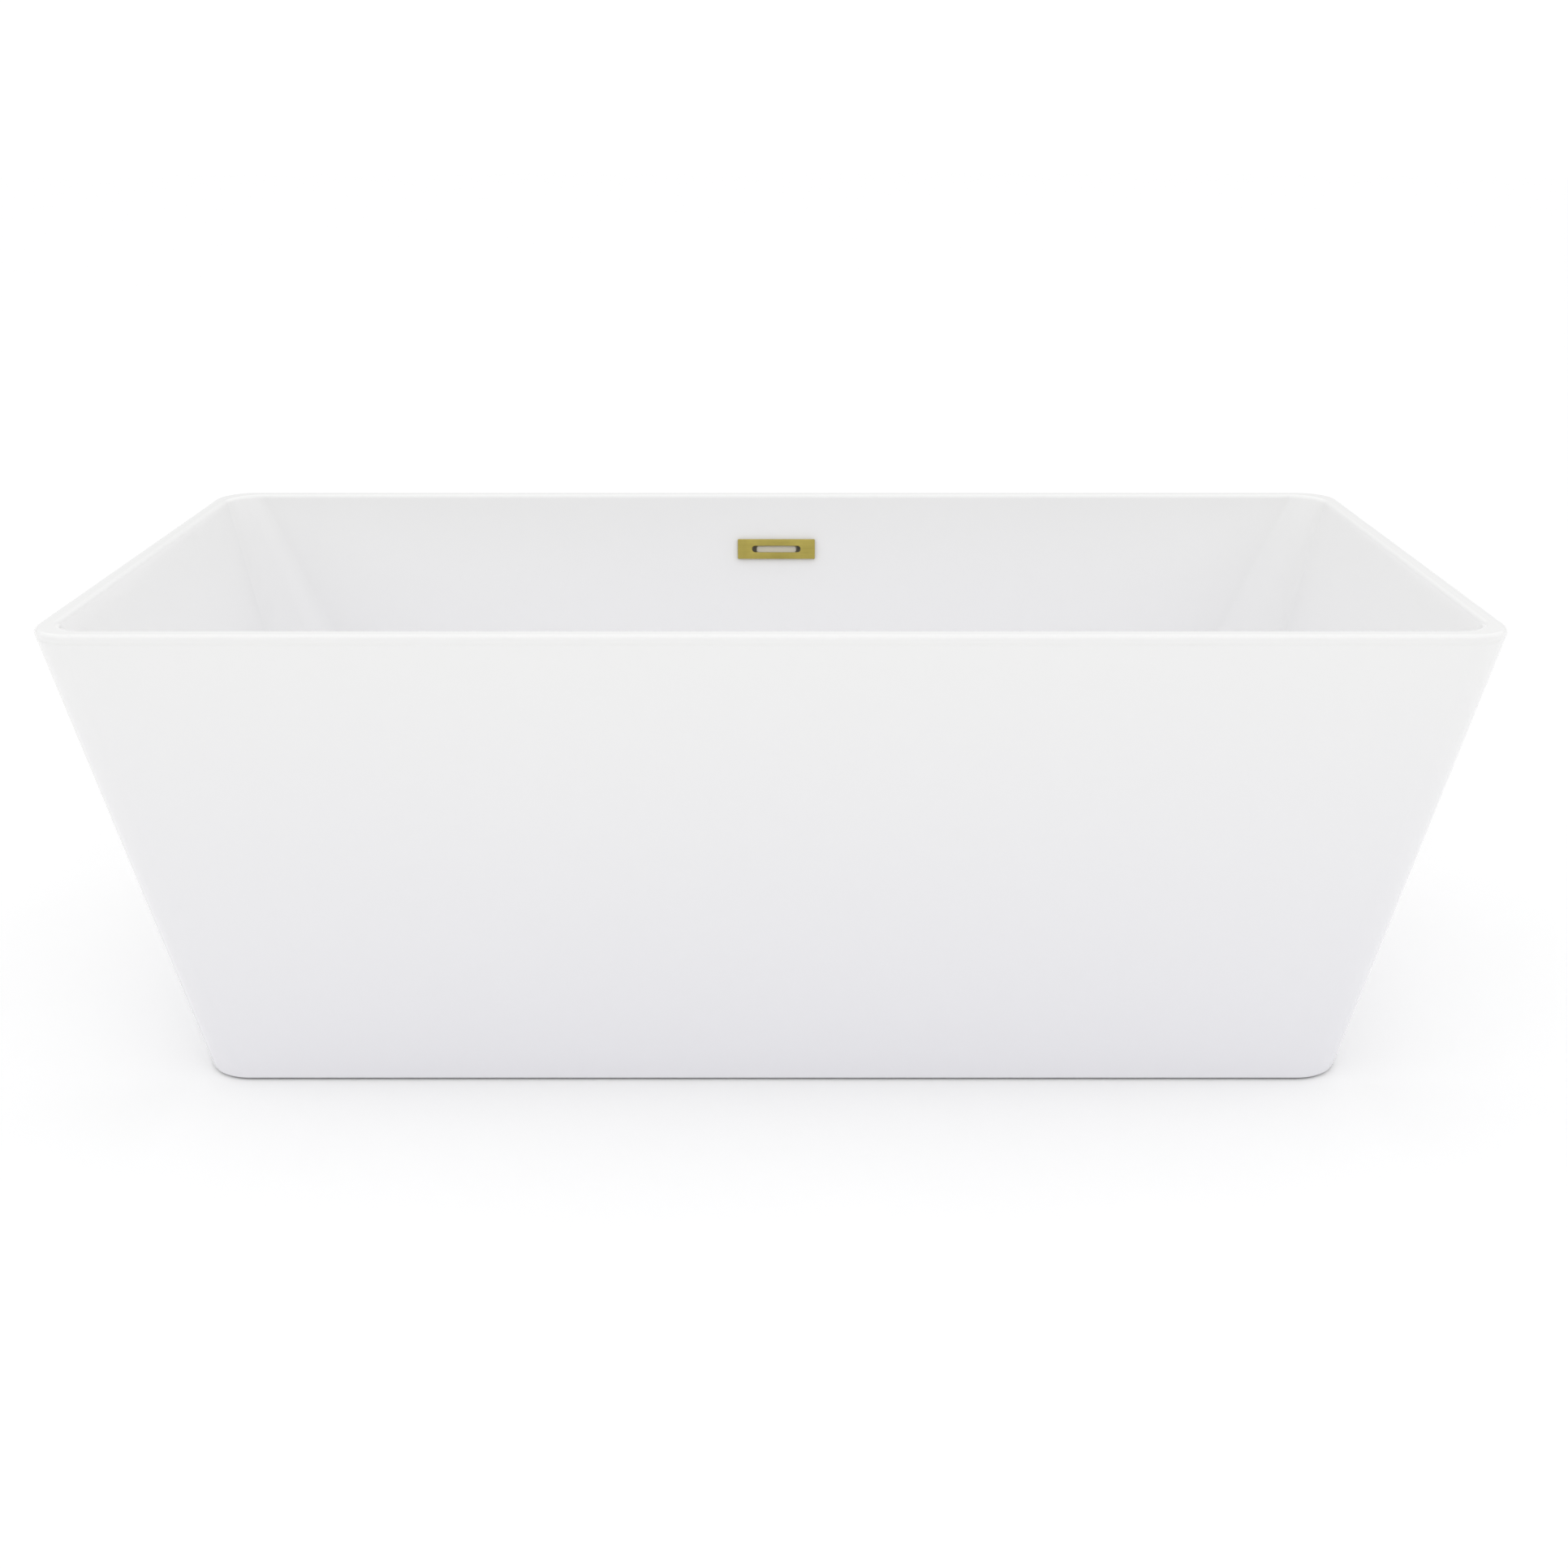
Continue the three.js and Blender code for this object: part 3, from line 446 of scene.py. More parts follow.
class Tub:
    """The rounded rectangles of the basin and the skirt, from the sizes in the panel."""

    def __init__(self, sizes):
        self.sizes = sizes
        rim_z = sizes.height - sizes.rim_edge
        basin_z = sizes.height - sizes.basin_edge
        inner = sizes.rim_width - sizes.basin_edge
        halves = (sizes.length / 2, sizes.width / 2)
        self.outer = [
            Wall(half - sizes.rim_edge, rim_z, sizes.rim_edge, flare, 1)
            for half, flare in zip(halves, (sizes.end_flare, sizes.side_flare))
        ]
        self.inner = [
            Wall(half - inner, basin_z, sizes.basin_edge, slope, -1)
            for half, slope in zip(halves, (sizes.end_slope, sizes.side_slope))
        ]
        self.rim_z, self.basin_z = rim_z, basin_z

    def skirt(self, z, inset=0.0):
        """The skirt's loop at a height, moved inwards."""
        sizes = self.sizes
        corner = sizes.foot_corner + (sizes.top_corner - sizes.foot_corner) * z / self.rim_z
        end, side = (wall.edge(z, -inset) for wall in self.outer)
        rolled = self.outer[0].line(z, -inset) - end
        return (end, side, corner - inset - rolled, z)

    def basin(self, z, offset=0.0):
        """The basin's loop at a height, moved outwards into the material."""
        sizes = self.sizes
        centre_z = sizes.floor_z + sizes.fillet
        radius = sizes.fillet + offset
        halves = []
        for wall in self.inner:
            half = wall.edge(z, offset)
            if z < centre_z - radius * wall.sin:
                middle = (wall.reach - sizes.fillet + centre_z * wall.sin) / wall.cos
                half = middle + math.sqrt(max(radius**2 - (centre_z - z) ** 2, 0))
            halves.append(half)
        corner = sizes.basin_corner + sizes.corner_growth * (self.basin_z - z) + offset
        rolled = self.inner[0].line(z, offset) - halves[0]
        return (*halves, corner - rolled, z)

    def fillet_heights(self, offset, count):
        """Heights through the fillet from the wall down to the floor."""
        sizes = self.sizes
        radius = sizes.fillet + offset
        lean = self.inner[0].lean
        turns = [lean + (math.pi / 2 - lean) * i / count for i in range(count + 1)]
        return [sizes.floor_z + sizes.fillet - radius * math.sin(turn) for turn in turns]


def arc_heights(centre_z, radius, lean, count):
    """Heights on a rounded edge, from its top down to where it meets the wall."""
    turns = [math.pi / 2 - (math.pi / 2 - lean) * i / count for i in range(count + 1)]
    return [centre_z + radius * math.sin(turn) for turn in turns]


def disc(radius, z):
    return (radius, radius, radius, z)


# ---- Materials -----------------------------------------------------------------------------------


def add(tree, kind, values=None, links=None, **settings):
    """Adds a node with its settings, its values and its links."""
    made = tree.nodes.new("ShaderNode" + kind)
    for name, value in settings.items():
        setattr(made, name, value)
    for socket, value in (values or {}).items():
        made.inputs[socket].default_value = value
    for socket, source in (links or {}).items():
        tree.links.new(source, made.inputs[socket])
    return made


def new_material(name, colour, roughness, **values):
    """A material with its shader, and the tree and the object coordinates that patterns need."""
    material = bpy.data.materials.new(name)
    material.use_nodes = True
    tree = material.node_tree
    shader = tree.nodes["Principled BSDF"]
    shader.inputs["Base Color"].default_value = (*colour, 1)
    shader.inputs["Roughness"].default_value = roughness
    for socket, value in values.items():
        shader.inputs[socket.replace("_", " ")].default_value = value
    return material, tree, shader, add(tree, "TexCoord").outputs["Object"]


def toned(colour, share):
    """A colour made darker or lighter by a share."""
    return (*(min(c * (1 + share), 1) for c in colour), 1)


def blend_colours(tree, shader, source, first, second):
    """The base colour goes from the first to the second as a pattern goes from 0 to 1."""
    mix = add(tree, "Mix", {6: first, 7: second}, {0: source}, data_type="RGBA")
    tree.links.new(mix.outputs[2], shader.inputs["Base Color"])
    return mix.outputs[2]


def vary_roughness(tree, shader, source, low, high):
    spread = add(tree, "MapRange", {"To Min": low, "To Max": high}, {"Value": source})
    tree.links.new(spread.outputs[0], shader.inputs["Roughness"])


def raise_surface(tree, shader, *layers):
    """Bumps, each a (pattern, height in metres), one on top of another."""
    normal = None
    for source, height in layers:
        links = {"Height": source} if normal is None else {"Height": source, "Normal": normal}
        normal = add(tree, "Bump", {"Strength": 1.0, "Distance": height}, links).outputs[0]
    tree.links.new(normal, shader.inputs["Normal"])


def sanitary_acrylic(colour):
    """Cast sanitary acrylic, vacuum formed: high gloss, with the slow waves of a drawn sheet and a
    trace of orange peel. Its white carries painted shade: cooler and darker towards the foot, and
    soft cloudy patches of painted shade that stand in for reflections."""
    material, tree, shader, place = new_material("cast_acrylic_gloss_white", colour, 0.1, IOR=1.49)
    # Painted shade: a large soft noise adds cloudy patches of painted shade that stand in for soft
    # reflections.
    cloud = add(tree, "TexNoise", {"Scale": 1.7, "Detail": 1.0}, {"Vector": place})
    height = add(tree, "SeparateXYZ", None, {0: place}).outputs[2]
    # Painted shade: the lower a point sits, the more its white is blended towards a darker, cooler
    # copy.
    painted_foot_shade = add(
        tree, "MapRange", {"From Min": 0.62, "From Max": 0.0, "To Max": 0.85}, {"Value": height}
    )
    links = {0: cloud.outputs[0], 2: painted_foot_shade.outputs[0]}
    tone = add(tree, "Math", {1: 0.15}, links, operation="MULTIPLY_ADD")
    # The darker, cooler copy of the white that the painted shade blends towards.
    painted_shade_colour = (*(c * share for c, share in zip(colour, (0.915, 0.91, 0.96))), 1)
    blend_colours(tree, shader, tone.outputs[0], toned(colour, 0), painted_shade_colour)
    rub = add(tree, "TexNoise", {"Scale": 11.0, "Detail": 4.0}, {"Vector": place})
    vary_roughness(tree, shader, rub.outputs[0], 0.06, 0.16)
    slow = {"Scale": 4.2, "Detail": 0.0, "Distortion": 0.6}
    waves = add(tree, "TexNoise", slow, {"Vector": place})
    peel = add(tree, "TexNoise", {"Scale": 1 / (8 * MM), "Detail": 1.0}, {"Vector": place})
    raise_surface(tree, shader, (waves.outputs[0], 1.1 * MM), (peel.outputs[0], 0.012 * MM))
    return material


def brushed_brass(colour):
    """Brass brushed along its length and lacquered: fine streaks 0.4 mm apart, which broaden the
    gloss, between a greener and a yellower tone."""
    material, tree, shader, place = new_material(
        "brushed_brass", colour, 0.34, Metallic=1.0, Anisotropic=0.45
    )
    streaks = add(tree, "Mapping", {"Scale": (14, 2400, 2400)}, {"Vector": place})
    fine = add(tree, "TexNoise", {"Scale": 1.0, "Detail": 3.0}, {"Vector": streaks.outputs[0]})
    clouds = add(tree, "TexNoise", {"Scale": 38.0, "Detail": 3.0}, {"Vector": place})
    both = add(tree, "Math", None, {0: fine.outputs[0], 1: clouds.outputs[0]}, operation="ADD")
    half = add(tree, "MapRange", {"From Min": 0.7, "From Max": 1.3}, {"Value": both.outputs[0]})
    blend_colours(tree, shader, half.outputs[0], toned(colour, -0.16), toned(colour, 0.14))
    vary_roughness(tree, shader, fine.outputs[0], 0.24, 0.44)
    raise_surface(tree, shader, (fine.outputs[0], 0.012 * MM))
    around = add(tree, "Tangent", None, None, direction_type="RADIAL", axis="Z")
    tree.links.new(around.outputs[0], shader.inputs["Tangent"])
    return material


def mottled(name, colour, roughness, noise, tones, gloss, relief, **values):
    """A finish from one noise (scale, detail), which drives its tone, its gloss and its relief."""
    material, tree, shader, place = new_material(name, colour, roughness, **values)
    scale, detail = noise
    mottle = add(tree, "TexNoise", {"Scale": scale, "Detail": detail}, {"Vector": place})
    low, high = (toned(colour, share) for share in tones)
    blend_colours(tree, shader, mottle.outputs[0], low, high)
    vary_roughness(tree, shader, mottle.outputs[0], *gloss)
    raise_surface(tree, shader, (mottle.outputs[0], relief))
    return material


def bright_zinc(colour):
    """Steel with bright zinc plate: bluish and softly mottled."""
    noise, tones, gloss = (160.0, 5.0), (-0.3, 0.12), (0.2, 0.46)
    return mottled(
        "bright_zinc_plate", colour, 0.3, noise, tones, gloss, 0.02 * MM, Metallic=1.0
    )


def powder_coated_steel(colour):
    """Anthracite polyester powder on steel: a low sheen over a fine orange peel, 1.5 mm wide."""
    material, tree, shader, place = new_material("powder_coated_steel", colour, 0.45, IOR=1.5)
    peel = add(tree, "TexNoise", {"Scale": 1 / (1.5 * MM), "Detail": 2.0}, {"Vector": place})
    dust = add(tree, "TexNoise", {"Scale": 9.0, "Detail": 5.0}, {"Vector": place})
    blend_colours(tree, shader, dust.outputs[0], toned(colour, -0.12), toned(colour, 0.25))
    vary_roughness(tree, shader, dust.outputs[0], 0.38, 0.58)
    raise_surface(tree, shader, (peel.outputs[0], 0.06 * MM))
    return material


def epdm_rubber(colour):
    """Moulded EPDM: black, dull, with a greyish bloom."""
    noise, tones, gloss = (60.0, 6.0), (-0.2, 1.6), (0.6, 0.9)
    return mottled("epdm_rubber", colour, 0.75, noise, tones, gloss, 0.05 * MM, IOR=1.5)


def moulded_plastic(name, colour, roughness, grain):
    """An injection-moulded plastic: an even satin gloss from the fine spark grain of its mould."""
    material, tree, shader, place = new_material(name, colour, roughness, IOR=1.53)
    spark = add(tree, "TexNoise", {"Scale": 1 / grain, "Detail": 2.0}, {"Vector": place})
    flow = add(tree, "TexNoise", {"Scale": 22.0, "Detail": 2.0}, {"Vector": place})
    blend_colours(tree, shader, flow.outputs[0], toned(colour, -0.06), toned(colour, 0.08))
    vary_roughness(tree, shader, spark.outputs[0], roughness - 0.08, roughness + 0.1)
    raise_surface(tree, shader, (spark.outputs[0], 0.04 * MM))
    return material


def flexible_pvc(colour):
    """Soft PVC: pale grey, with a waxy gloss and a little light that comes through."""
    noise, tones, gloss = (45.0, 4.0), (-0.1, 0.04), (0.32, 0.5)
    soft = {"IOR": 1.53, "Subsurface_Weight": 0.1, "Subsurface_Scale": 2 * MM}
    return mottled("flexible_pvc", colour, 0.4, noise, tones, gloss, 0.05 * MM, **soft)


def chopped_glass_laminate(colour):
    """Sprayed polyester with chopped glass: resin straw yellow, with pale strands about 30 mm long
    turned three ways, which stand out of the rolled surface."""
    material, tree, shader, place = new_material("chopped_glass_laminate", colour, 0.45, IOR=1.54)
    bent = add(tree, "TexNoise", {"Scale": 14.0, "Detail": 1.0}, {"Vector": place})
    links = {0: bent.outputs[1]}
    shift = add(tree, "VectorMath", {1: (0.03, 0.03, 0.03)}, links, operation="MULTIPLY")
    links = {0: place, 1: shift.outputs[0]}
    moved = add(tree, "VectorMath", None, links, operation="ADD").outputs[0]
    strands = None
    for turn in ((0.3, 0.5, 0.2), (1.4, 0.2, 1.1), (0.8, 1.7, 2.3)):
        drawn = {"Rotation": turn, "Scale": (38, 520, 520)}
        links = {"Vector": add(tree, "Mapping", drawn, {"Vector": moved}).outputs[0]}
        thread = add(tree, "TexNoise", {"Scale": 1.0, "Detail": 1.0}, links)
        if strands is None:
            strands = thread.outputs[0]
        else:
            links = {0: strands, 1: thread.outputs[0]}
            strands = add(tree, "Math", None, links, operation="MAXIMUM").outputs[0]
    sharp = add(tree, "MapRange", {"From Min": 0.58, "From Max": 0.72}, {"Value": strands})
    blend_colours(tree, shader, sharp.outputs[0], toned(colour, -0.14), toned(colour, 0.22))
    vary_roughness(tree, shader, sharp.outputs[0], 0.3, 0.6)
    raise_surface(tree, shader, (strands, 0.6 * MM))
    return material


def chipboard(colour):
    """Chipboard under the laminate: pressed chips 5 mm across, no two of the same brown."""
    material, tree, shader, place = new_material("chipboard", colour, 0.85)
    flat = add(tree, "Mapping", {"Scale": (1, 1, 3)}, {"Vector": place})
    chips = add(tree, "TexVoronoi", {"Scale": 1 / (5 * MM)}, {"Vector": flat.outputs[0]})
    tone = add(tree, "SeparateColor", None, {0: chips.outputs["Color"]})
    blend_colours(tree, shader, tone.outputs[0], toned(colour, -0.34), toned(colour, 0.28))
    raise_surface(tree, shader, (chips.outputs["Distance"], 0.25 * MM))
    vary_roughness(tree, shader, tone.outputs[1], 0.75, 0.95)
    return material


def planed_spruce(colour):
    """Planed spruce: growth rings 3 mm apart along X, darker where the late wood is."""
    material, tree, shader, place = new_material("planed_spruce", colour, 0.7)
    long = add(tree, "Mapping", {"Scale": (0.06, 1, 1)}, {"Vector": place})
    rings = add(
        tree,
        "TexWave",
        {"Scale": 52.0, "Distortion": 5.0, "Detail": 3.0, "Detail Scale": 1.2},
        {"Vector": long.outputs[0]},
        wave_type="RINGS",
        rings_direction="X",
        wave_profile="SAW",
    )
    blend_colours(tree, shader, rings.outputs[1], toned(colour, 0.12), toned(colour, -0.32))
    vary_roughness(tree, shader, rings.outputs[1], 0.6, 0.8)
    raise_surface(tree, shader, (rings.outputs[1], 0.12 * MM))
    return material


def polished_filler(colour):
    """The bonding filler of the rim seam, polished flush and as white as the acrylic."""
    noise, tones, gloss = (30.0, 3.0), (-0.03, 0.02), (0.12, 0.26)
    return mottled("polished_seam_filler", colour, 0.18, noise, tones, gloss, 0.02 * MM, IOR=1.5)


def studio_floor(colour):
    """A seamless sheet of matt studio paper."""
    material, tree, shader, place = new_material("studio_paper", colour, 0.9)
    fibre = add(tree, "TexNoise", {"Scale": 3.0, "Detail": 3.0}, {"Vector": place})
    blend_colours(tree, shader, fibre.outputs[0], toned(colour, -0.01), toned(colour, 0.01))
    return material


FINISHES = {}


def finish(slot):
    """The material for one of the record's slots, made once."""
    if slot not in FINISHES:
        colours = bpy.context.scene.tub_finish
        make = {
            "acrylic": lambda: sanitary_acrylic(colours.acrylic),
            "laminate": lambda: chopped_glass_laminate(colours.laminate),
            "filler": lambda: polished_filler(colours.acrylic),
            "board": lambda: chipboard(colours.chipboard),
            "timber": lambda: planed_spruce(colours.softwood),
            "frame_steel": lambda: powder_coated_steel(colours.frame_paint),
            "zinc_steel": lambda: bright_zinc(colours.zinc),
            "rubber": lambda: epdm_rubber(colours.rubber),
            "brass": lambda: brushed_brass(colours.brass),
            "white_plastic": lambda: moulded_plastic(
                "moulded_abs", colours.abs_plastic, 0.38, 0.7 * MM
            ),
            "black_plastic": lambda: moulded_plastic(
                "moulded_polyamide", colours.polyamide, 0.5, 0.9 * MM
            ),
            "hose": lambda: flexible_pvc(colours.hose),
        }
        FINISHES[slot] = make[slot]()
    return FINISHES[slot]


def keep(piece, slot, *nodes, body=None, degrees=30):
    """Finishes a piece: shading and finish. It rides on the body of the nodes that it replaces."""
    shade(piece, degrees)
    piece.data.materials.clear()
    piece.data.materials.append(finish(slot))
    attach(piece, body or frame["nodes"][nodes[0]]["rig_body"])
    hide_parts(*nodes)
    return piece


# ---- The basin and the skirt ---------------------------------------------------------------------


def overflow_place(sizes):
    """Where the overflow sits on the basin's wall, and the turn that lays a part flat on it."""
    wall = Tub(sizes).inner[1]
    location = (0, wall.line(sizes.overflow_z), sizes.overflow_z)
    return location, (math.pi / 2 - wall.lean, 0, 0)


def cut_overflow_hole(piece, sizes):
    """The stadium hole through the basin's wall, 90 mm wide and 20 mm high."""
    tool = loft("hole", [(45 * MM, 10 * MM, 9.9 * MM, z) for z in (-30 * MM, 30 * MM)], steps=12)
    place(tool, *overflow_place(sizes))
    return combine(piece, tool)


def shell_heights(tub, offset, top):
    """Heights down a basin wall from `top` to the floor."""
    walls = [z for z in (570, 540, 500, 450, 400, 350, 300, 262) if z * MM < top - 4 * MM]
    return [top, *(z * MM for z in walls), *tub.fillet_heights(offset, 14)]


def make_basin(sizes):
    tub = Tub(sizes)
    floor, sheet = sizes.floor_z, sizes.acrylic
    outer_lean, inner_lean = tub.outer[0].lean, tub.inner[0].lean
    lip = sizes.lip_bottom
    rim = arc_heights(tub.rim_z, sizes.rim_edge, -outer_lean, 9)
    edge = arc_heights(tub.basin_z, sizes.basin_edge, inner_lean, 9)
    hole = 23.5 * MM
    above = [
        tub.skirt(lip, 0.1 * MM),
        tub.skirt(lip + 0.1 * MM),
        *(tub.skirt(z) for z in reversed(rim)),
        *(tub.basin(z) for z in edge),
        *(tub.basin(z) for z in shell_heights(tub, 0, 588 * MM)),
    ]
    drop = [(46, 0), (44, 0.3), (42.5, 1.4), (41.2, 3.6), (39.4, 4.7), (37.4, 5)]
    recess = [disc(r * MM, floor - z * MM) for r, z in drop]
    under_recess = [disc((r + 3.5) * MM, floor - sheet - z * MM) for r, z in reversed(drop)]
    low_edge = arc_heights(tub.basin_z, sizes.basin_edge - sheet, inner_lean, 3)
    below = [
        *(tub.basin(z, sheet) for z in reversed(shell_heights(tub, sheet, 588 * MM))),
        *(tub.basin(z, sheet) for z in reversed(low_edge)),
        tub.skirt(tub.rim_z + sizes.rim_edge - sheet, sheet),
        tub.skirt(lip, sheet),
    ]
    middle = [disc(hole, floor - 5 * MM), disc(hole, floor - 5 * MM - sheet)]
    basin = loft("basin_shell", above + recess + middle + under_recess + below, 22, ring=True)
    cut_overflow_hole(basin, sizes)
    return keep(basin, "acrylic", "basin", degrees=40)


def make_skirt(sizes):
    tub = Tub(sizes)
    bottom, top, sheet = sizes.skirt_bottom, sizes.lip_bottom - sizes.seam, sizes.acrylic
    heights = [bottom + 0.6 * MM, *(z * MM for z in (40, 150, 300, 450, 560)), top - 0.1 * MM]
    outside = [tub.skirt(z) for z in heights]
    inside = [tub.skirt(z, sheet) for z in reversed(heights)]
    edges = [tub.skirt(top, 0.1 * MM), tub.skirt(top, sheet - 0.1 * MM)]
    foot = [tub.skirt(bottom, sheet - 0.6 * MM), tub.skirt(bottom, 0.6 * MM)]
    skirt = loft("skirt_shell", outside + edges + inside + foot, 22, ring=True)
    return keep(skirt, "acrylic", "skirt", degrees=40)


def make_seam(sizes):
    """The filler is flush in the seam, and a bead of it fills the channel behind the lip."""
    tub = Tub(sizes)
    lip, top = sizes.lip_bottom, sizes.lip_bottom - sizes.seam
    behind = sizes.acrylic + sizes.gap
    wall = sizes.acrylic + 2 * sizes.gap
    touch = 0.02 * MM
    foot = top - 22 * MM
    loops = [
        tub.skirt(top + touch, 0.1 * MM),
        tub.skirt(top + 0.1 * MM),
        tub.skirt(lip - 0.1 * MM),
        tub.skirt(lip - touch, 0.1 * MM),
        tub.skirt(lip - touch, behind),
        tub.basin(lip - sizes.gap, wall),
        tub.basin(foot + 3 * MM, wall),
        tub.basin(foot, wall + 2 * MM),
        tub.skirt(foot, behind + 2 * MM),
        tub.skirt(foot + 3 * MM, behind),
        tub.skirt(top + touch, behind),
    ]
    return keep(loft("seam_filler", loops, 22, ring=True), "filler", "rim_seam")


def make_basin_laminate(sizes):
    tub = Tub(sizes)
    inner = sizes.acrylic + sizes.gap
    outer = inner + sizes.laminate
    floor, top = sizes.floor_z, 562 * MM
    drop = [(46, 0), (42.5, 1.4), (41.2, 3.6), (37.4, 5)]

    def skin(offset):
        low = [disc(r * MM + 0.7 * offset, floor - offset - z * MM) for r, z in drop]
        return [*(tub.basin(z, offset) for z in shell_heights(tub, offset, top)), *low]

    hole = 35.5 * MM
    loops = [
        *skin(inner),
        disc(hole, floor - 5 * MM - inner),
        disc(hole, floor - 5 * MM - outer),
        *reversed(skin(outer)),
    ]
    laminate = loft("basin_laminate", loops, 14, ring=True)
    cut_overflow_hole(laminate, sizes)
    return keep(laminate, "laminate", "basin_backing")


def make_skirt_laminate(sizes):
    tub = Tub(sizes)
    outer = sizes.acrylic + sizes.gap
    inner = outer + SKIRT_LAMINATE
    heights = [z * MM for z in (12, 150, 300, 450, 558.4)]
    loops = [tub.skirt(z, outer) for z in heights]
    loops += [tub.skirt(z, inner) for z in reversed(heights)]
    skin = loft("skirt_laminate", loops, 14, ring=True)
    return keep(round_edges(skin, 0.8 * MM), "laminate", "skirt_backing")


# ---- The base board and the steel frame ----------------------------------------------------------

RAIL_X = 560 * MM
RAIL_Y = 150 * MM
MIDDLE_RAIL_X = 190 * MM
FOOT_Y = 240 * MM
RAIL_HALF = 300 * MM
STUD = 6 * MM
HEX = 19 * MM
NUT = 11 * MM
BLOCK_BOTTOM = 86 * MM
BLOCK_TOP = 150 * MM
BLOCK_DEPTH = 26 * MM
SCREW_RISE = 34 * MM  # of the upper slot and its screw over the bracket's foot


def rail_top():
    """The top of the frame, just under the base board."""
    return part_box("base_board")[0].z - 0.3 * MM


def make_board(sizes):
    low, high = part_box("base_board")
    levels = [low.z, high.z]
    board = loft("chipboard_base", [(high.x, high.y, 40 * MM, z) for z in levels], 12)
    hole = [(0, low.z - MM), (58 * MM, low.z - MM), (58 * MM, high.z + MM), (0, high.z + MM)]
    combine(board, turned("hole", hole, 56))
    return keep(round_edges(board, 0.8 * MM, sharper_than=60), "board", "base_board")


def square_tube(name, size, half, along_x):
    """A square steel tube with a 2 mm wall, level and centred on the origin."""
    wall = 2 * MM
    outer, inner = size / 2, size / 2 - wall
    loops = [
        (outer, outer, 3 * MM, -half),
        (outer, outer, 3 * MM, half),
        (inner, inner, 1 * MM, half),
        (inner, inner, 1 * MM, -half),
    ]
    turn = (0, math.pi / 2, 0) if along_x else (math.pi / 2, 0, 0)
    return place(loft(name, loops, 4, ring=True), rotation=turn)


def weld_bead(size, x, y, along_x, towards):
    """A fillet weld round the end of a tube, ground flush on top where the board lies."""
    half = size / 2
    loops = [
        (half - 0.1 * MM, half - 0.1 * MM, 3 * MM, -0.28 * MM),
        (half + 2.4 * MM, half + 2.4 * MM, 5 * MM, -0.28 * MM),
        (half + 1.6 * MM, half + 1.6 * MM, 4.4 * MM, 1.0 * MM),
        (half - 0.1 * MM, half - 0.1 * MM, 3 * MM, 2.4 * MM),
    ]
    bead = loft("weld", loops, 4, ring=True)
    lie = (0, -towards * math.pi / 2, 0) if along_x else (towards * math.pi / 2, 0, 0)
    place(bead, rotation=lie)
    place(bead, (x, y, rail_top() - half))
    activate(bead)
    bpy.ops.object.mode_set(mode="EDIT")
    cut_off(rail_top(), 1)
    return leave(bead)


def make_end_rail(sizes, name, side):
    """A cross rail at the end of the frame, with a nut welded under it for each foot."""
    top, size = rail_top(), sizes.tube
    x = side * RAIL_X
    rail = square_tube("end_rail_" + name, size, RAIL_HALF, False)
    place(rail, (x, 0, top - size / 2))
    under = top - size
    for y in (-FOOT_Y, FOOT_Y):
        nut = place(hexagon("nut", HEX, (under - NUT, under + 0.3 * MM)), (x, y, 0))
        combine(rail, nut, "UNION")
        seam = [(9, 0), (13.4, 0), (12.6, -1.2), (10.6, -2.2), (9, -2.4), (9, 0)]
        ring = turned("weld", [(r * MM, under + 0.1 * MM + z * MM) for r, z in seam], 24)
        combine(rail, place(ring, (x, y, 0)), "UNION")
        bore = [(0, -12), (6.3, -12), (6.3, 14), (0, 14)]
        hole = turned("bore", [(r * MM, under + z * MM) for r, z in bore], 24)
        combine(rail, place(hole, (x, y, 0)))
    return keep(rail, "frame_steel", "cross_rail_" + name)


def make_frame(sizes):
    top, size = rail_top(), sizes.tube
    z = top - size / 2
    for name, side in (("left", -1), ("right", 1)):
        make_end_rail(sizes, name, side)
        x, half = side * MIDDLE_RAIL_X, RAIL_Y - size / 2 - 0.3 * MM
        rail = place(square_tube("middle_rail_" + name, size, half, False), (x, 0, z))
        beads = [weld_bead(size, x, end * half, False, end) for end in (-1, 1)]
        keep(merge(rail, *beads), "frame_steel", "cross_rail_mid_" + name)
    for name, side in (("front", -1), ("rear", 1)):
        y, half = side * RAIL_Y, RAIL_X - size / 2 - 0.3 * MM
        rail = place(square_tube("long_rail_" + name, size, half, True), (0, y, z))
        beads = [weld_bead(size, end * half, y, True, end) for end in (-1, 1)]
        keep(merge(rail, *beads), "frame_steel", "frame_rail_" + name)


def at_corners(make, node, slot, facing_out=False, body=None):
    """Makes a piece once and puts a copy at each corner. With a body, it stands for no node."""
    pattern = make()
    for corner, (side_x, side_y) in CORNERS.items():
        twin = duplicate(pattern, pattern.name + "_" + corner)
        spin = math.pi if facing_out and side_y < 0 else 0
        place(twin, (side_x * RAIL_X, 0 if facing_out else side_y * FOOT_Y, 0), (0, 0, spin))
        nodes = () if body else (node + "_" + corner,)
        keep(twin, slot, *nodes, body=body)
    bpy.data.objects.remove(pattern)


def extruded(name, outline, x, depth):
    """A closed outline of (y, z) points, filled and drawn out along X."""
    points = [(x, y, z) for y, z in outline]
    piece = chain(name, points)
    bpy.ops.mesh.select_all(action="SELECT")
    bpy.ops.mesh.edge_face_add()
    bpy.ops.mesh.extrude_region_move(TRANSFORM_OT_translate={"value": (depth, 0, 0)})
    return leave(piece)


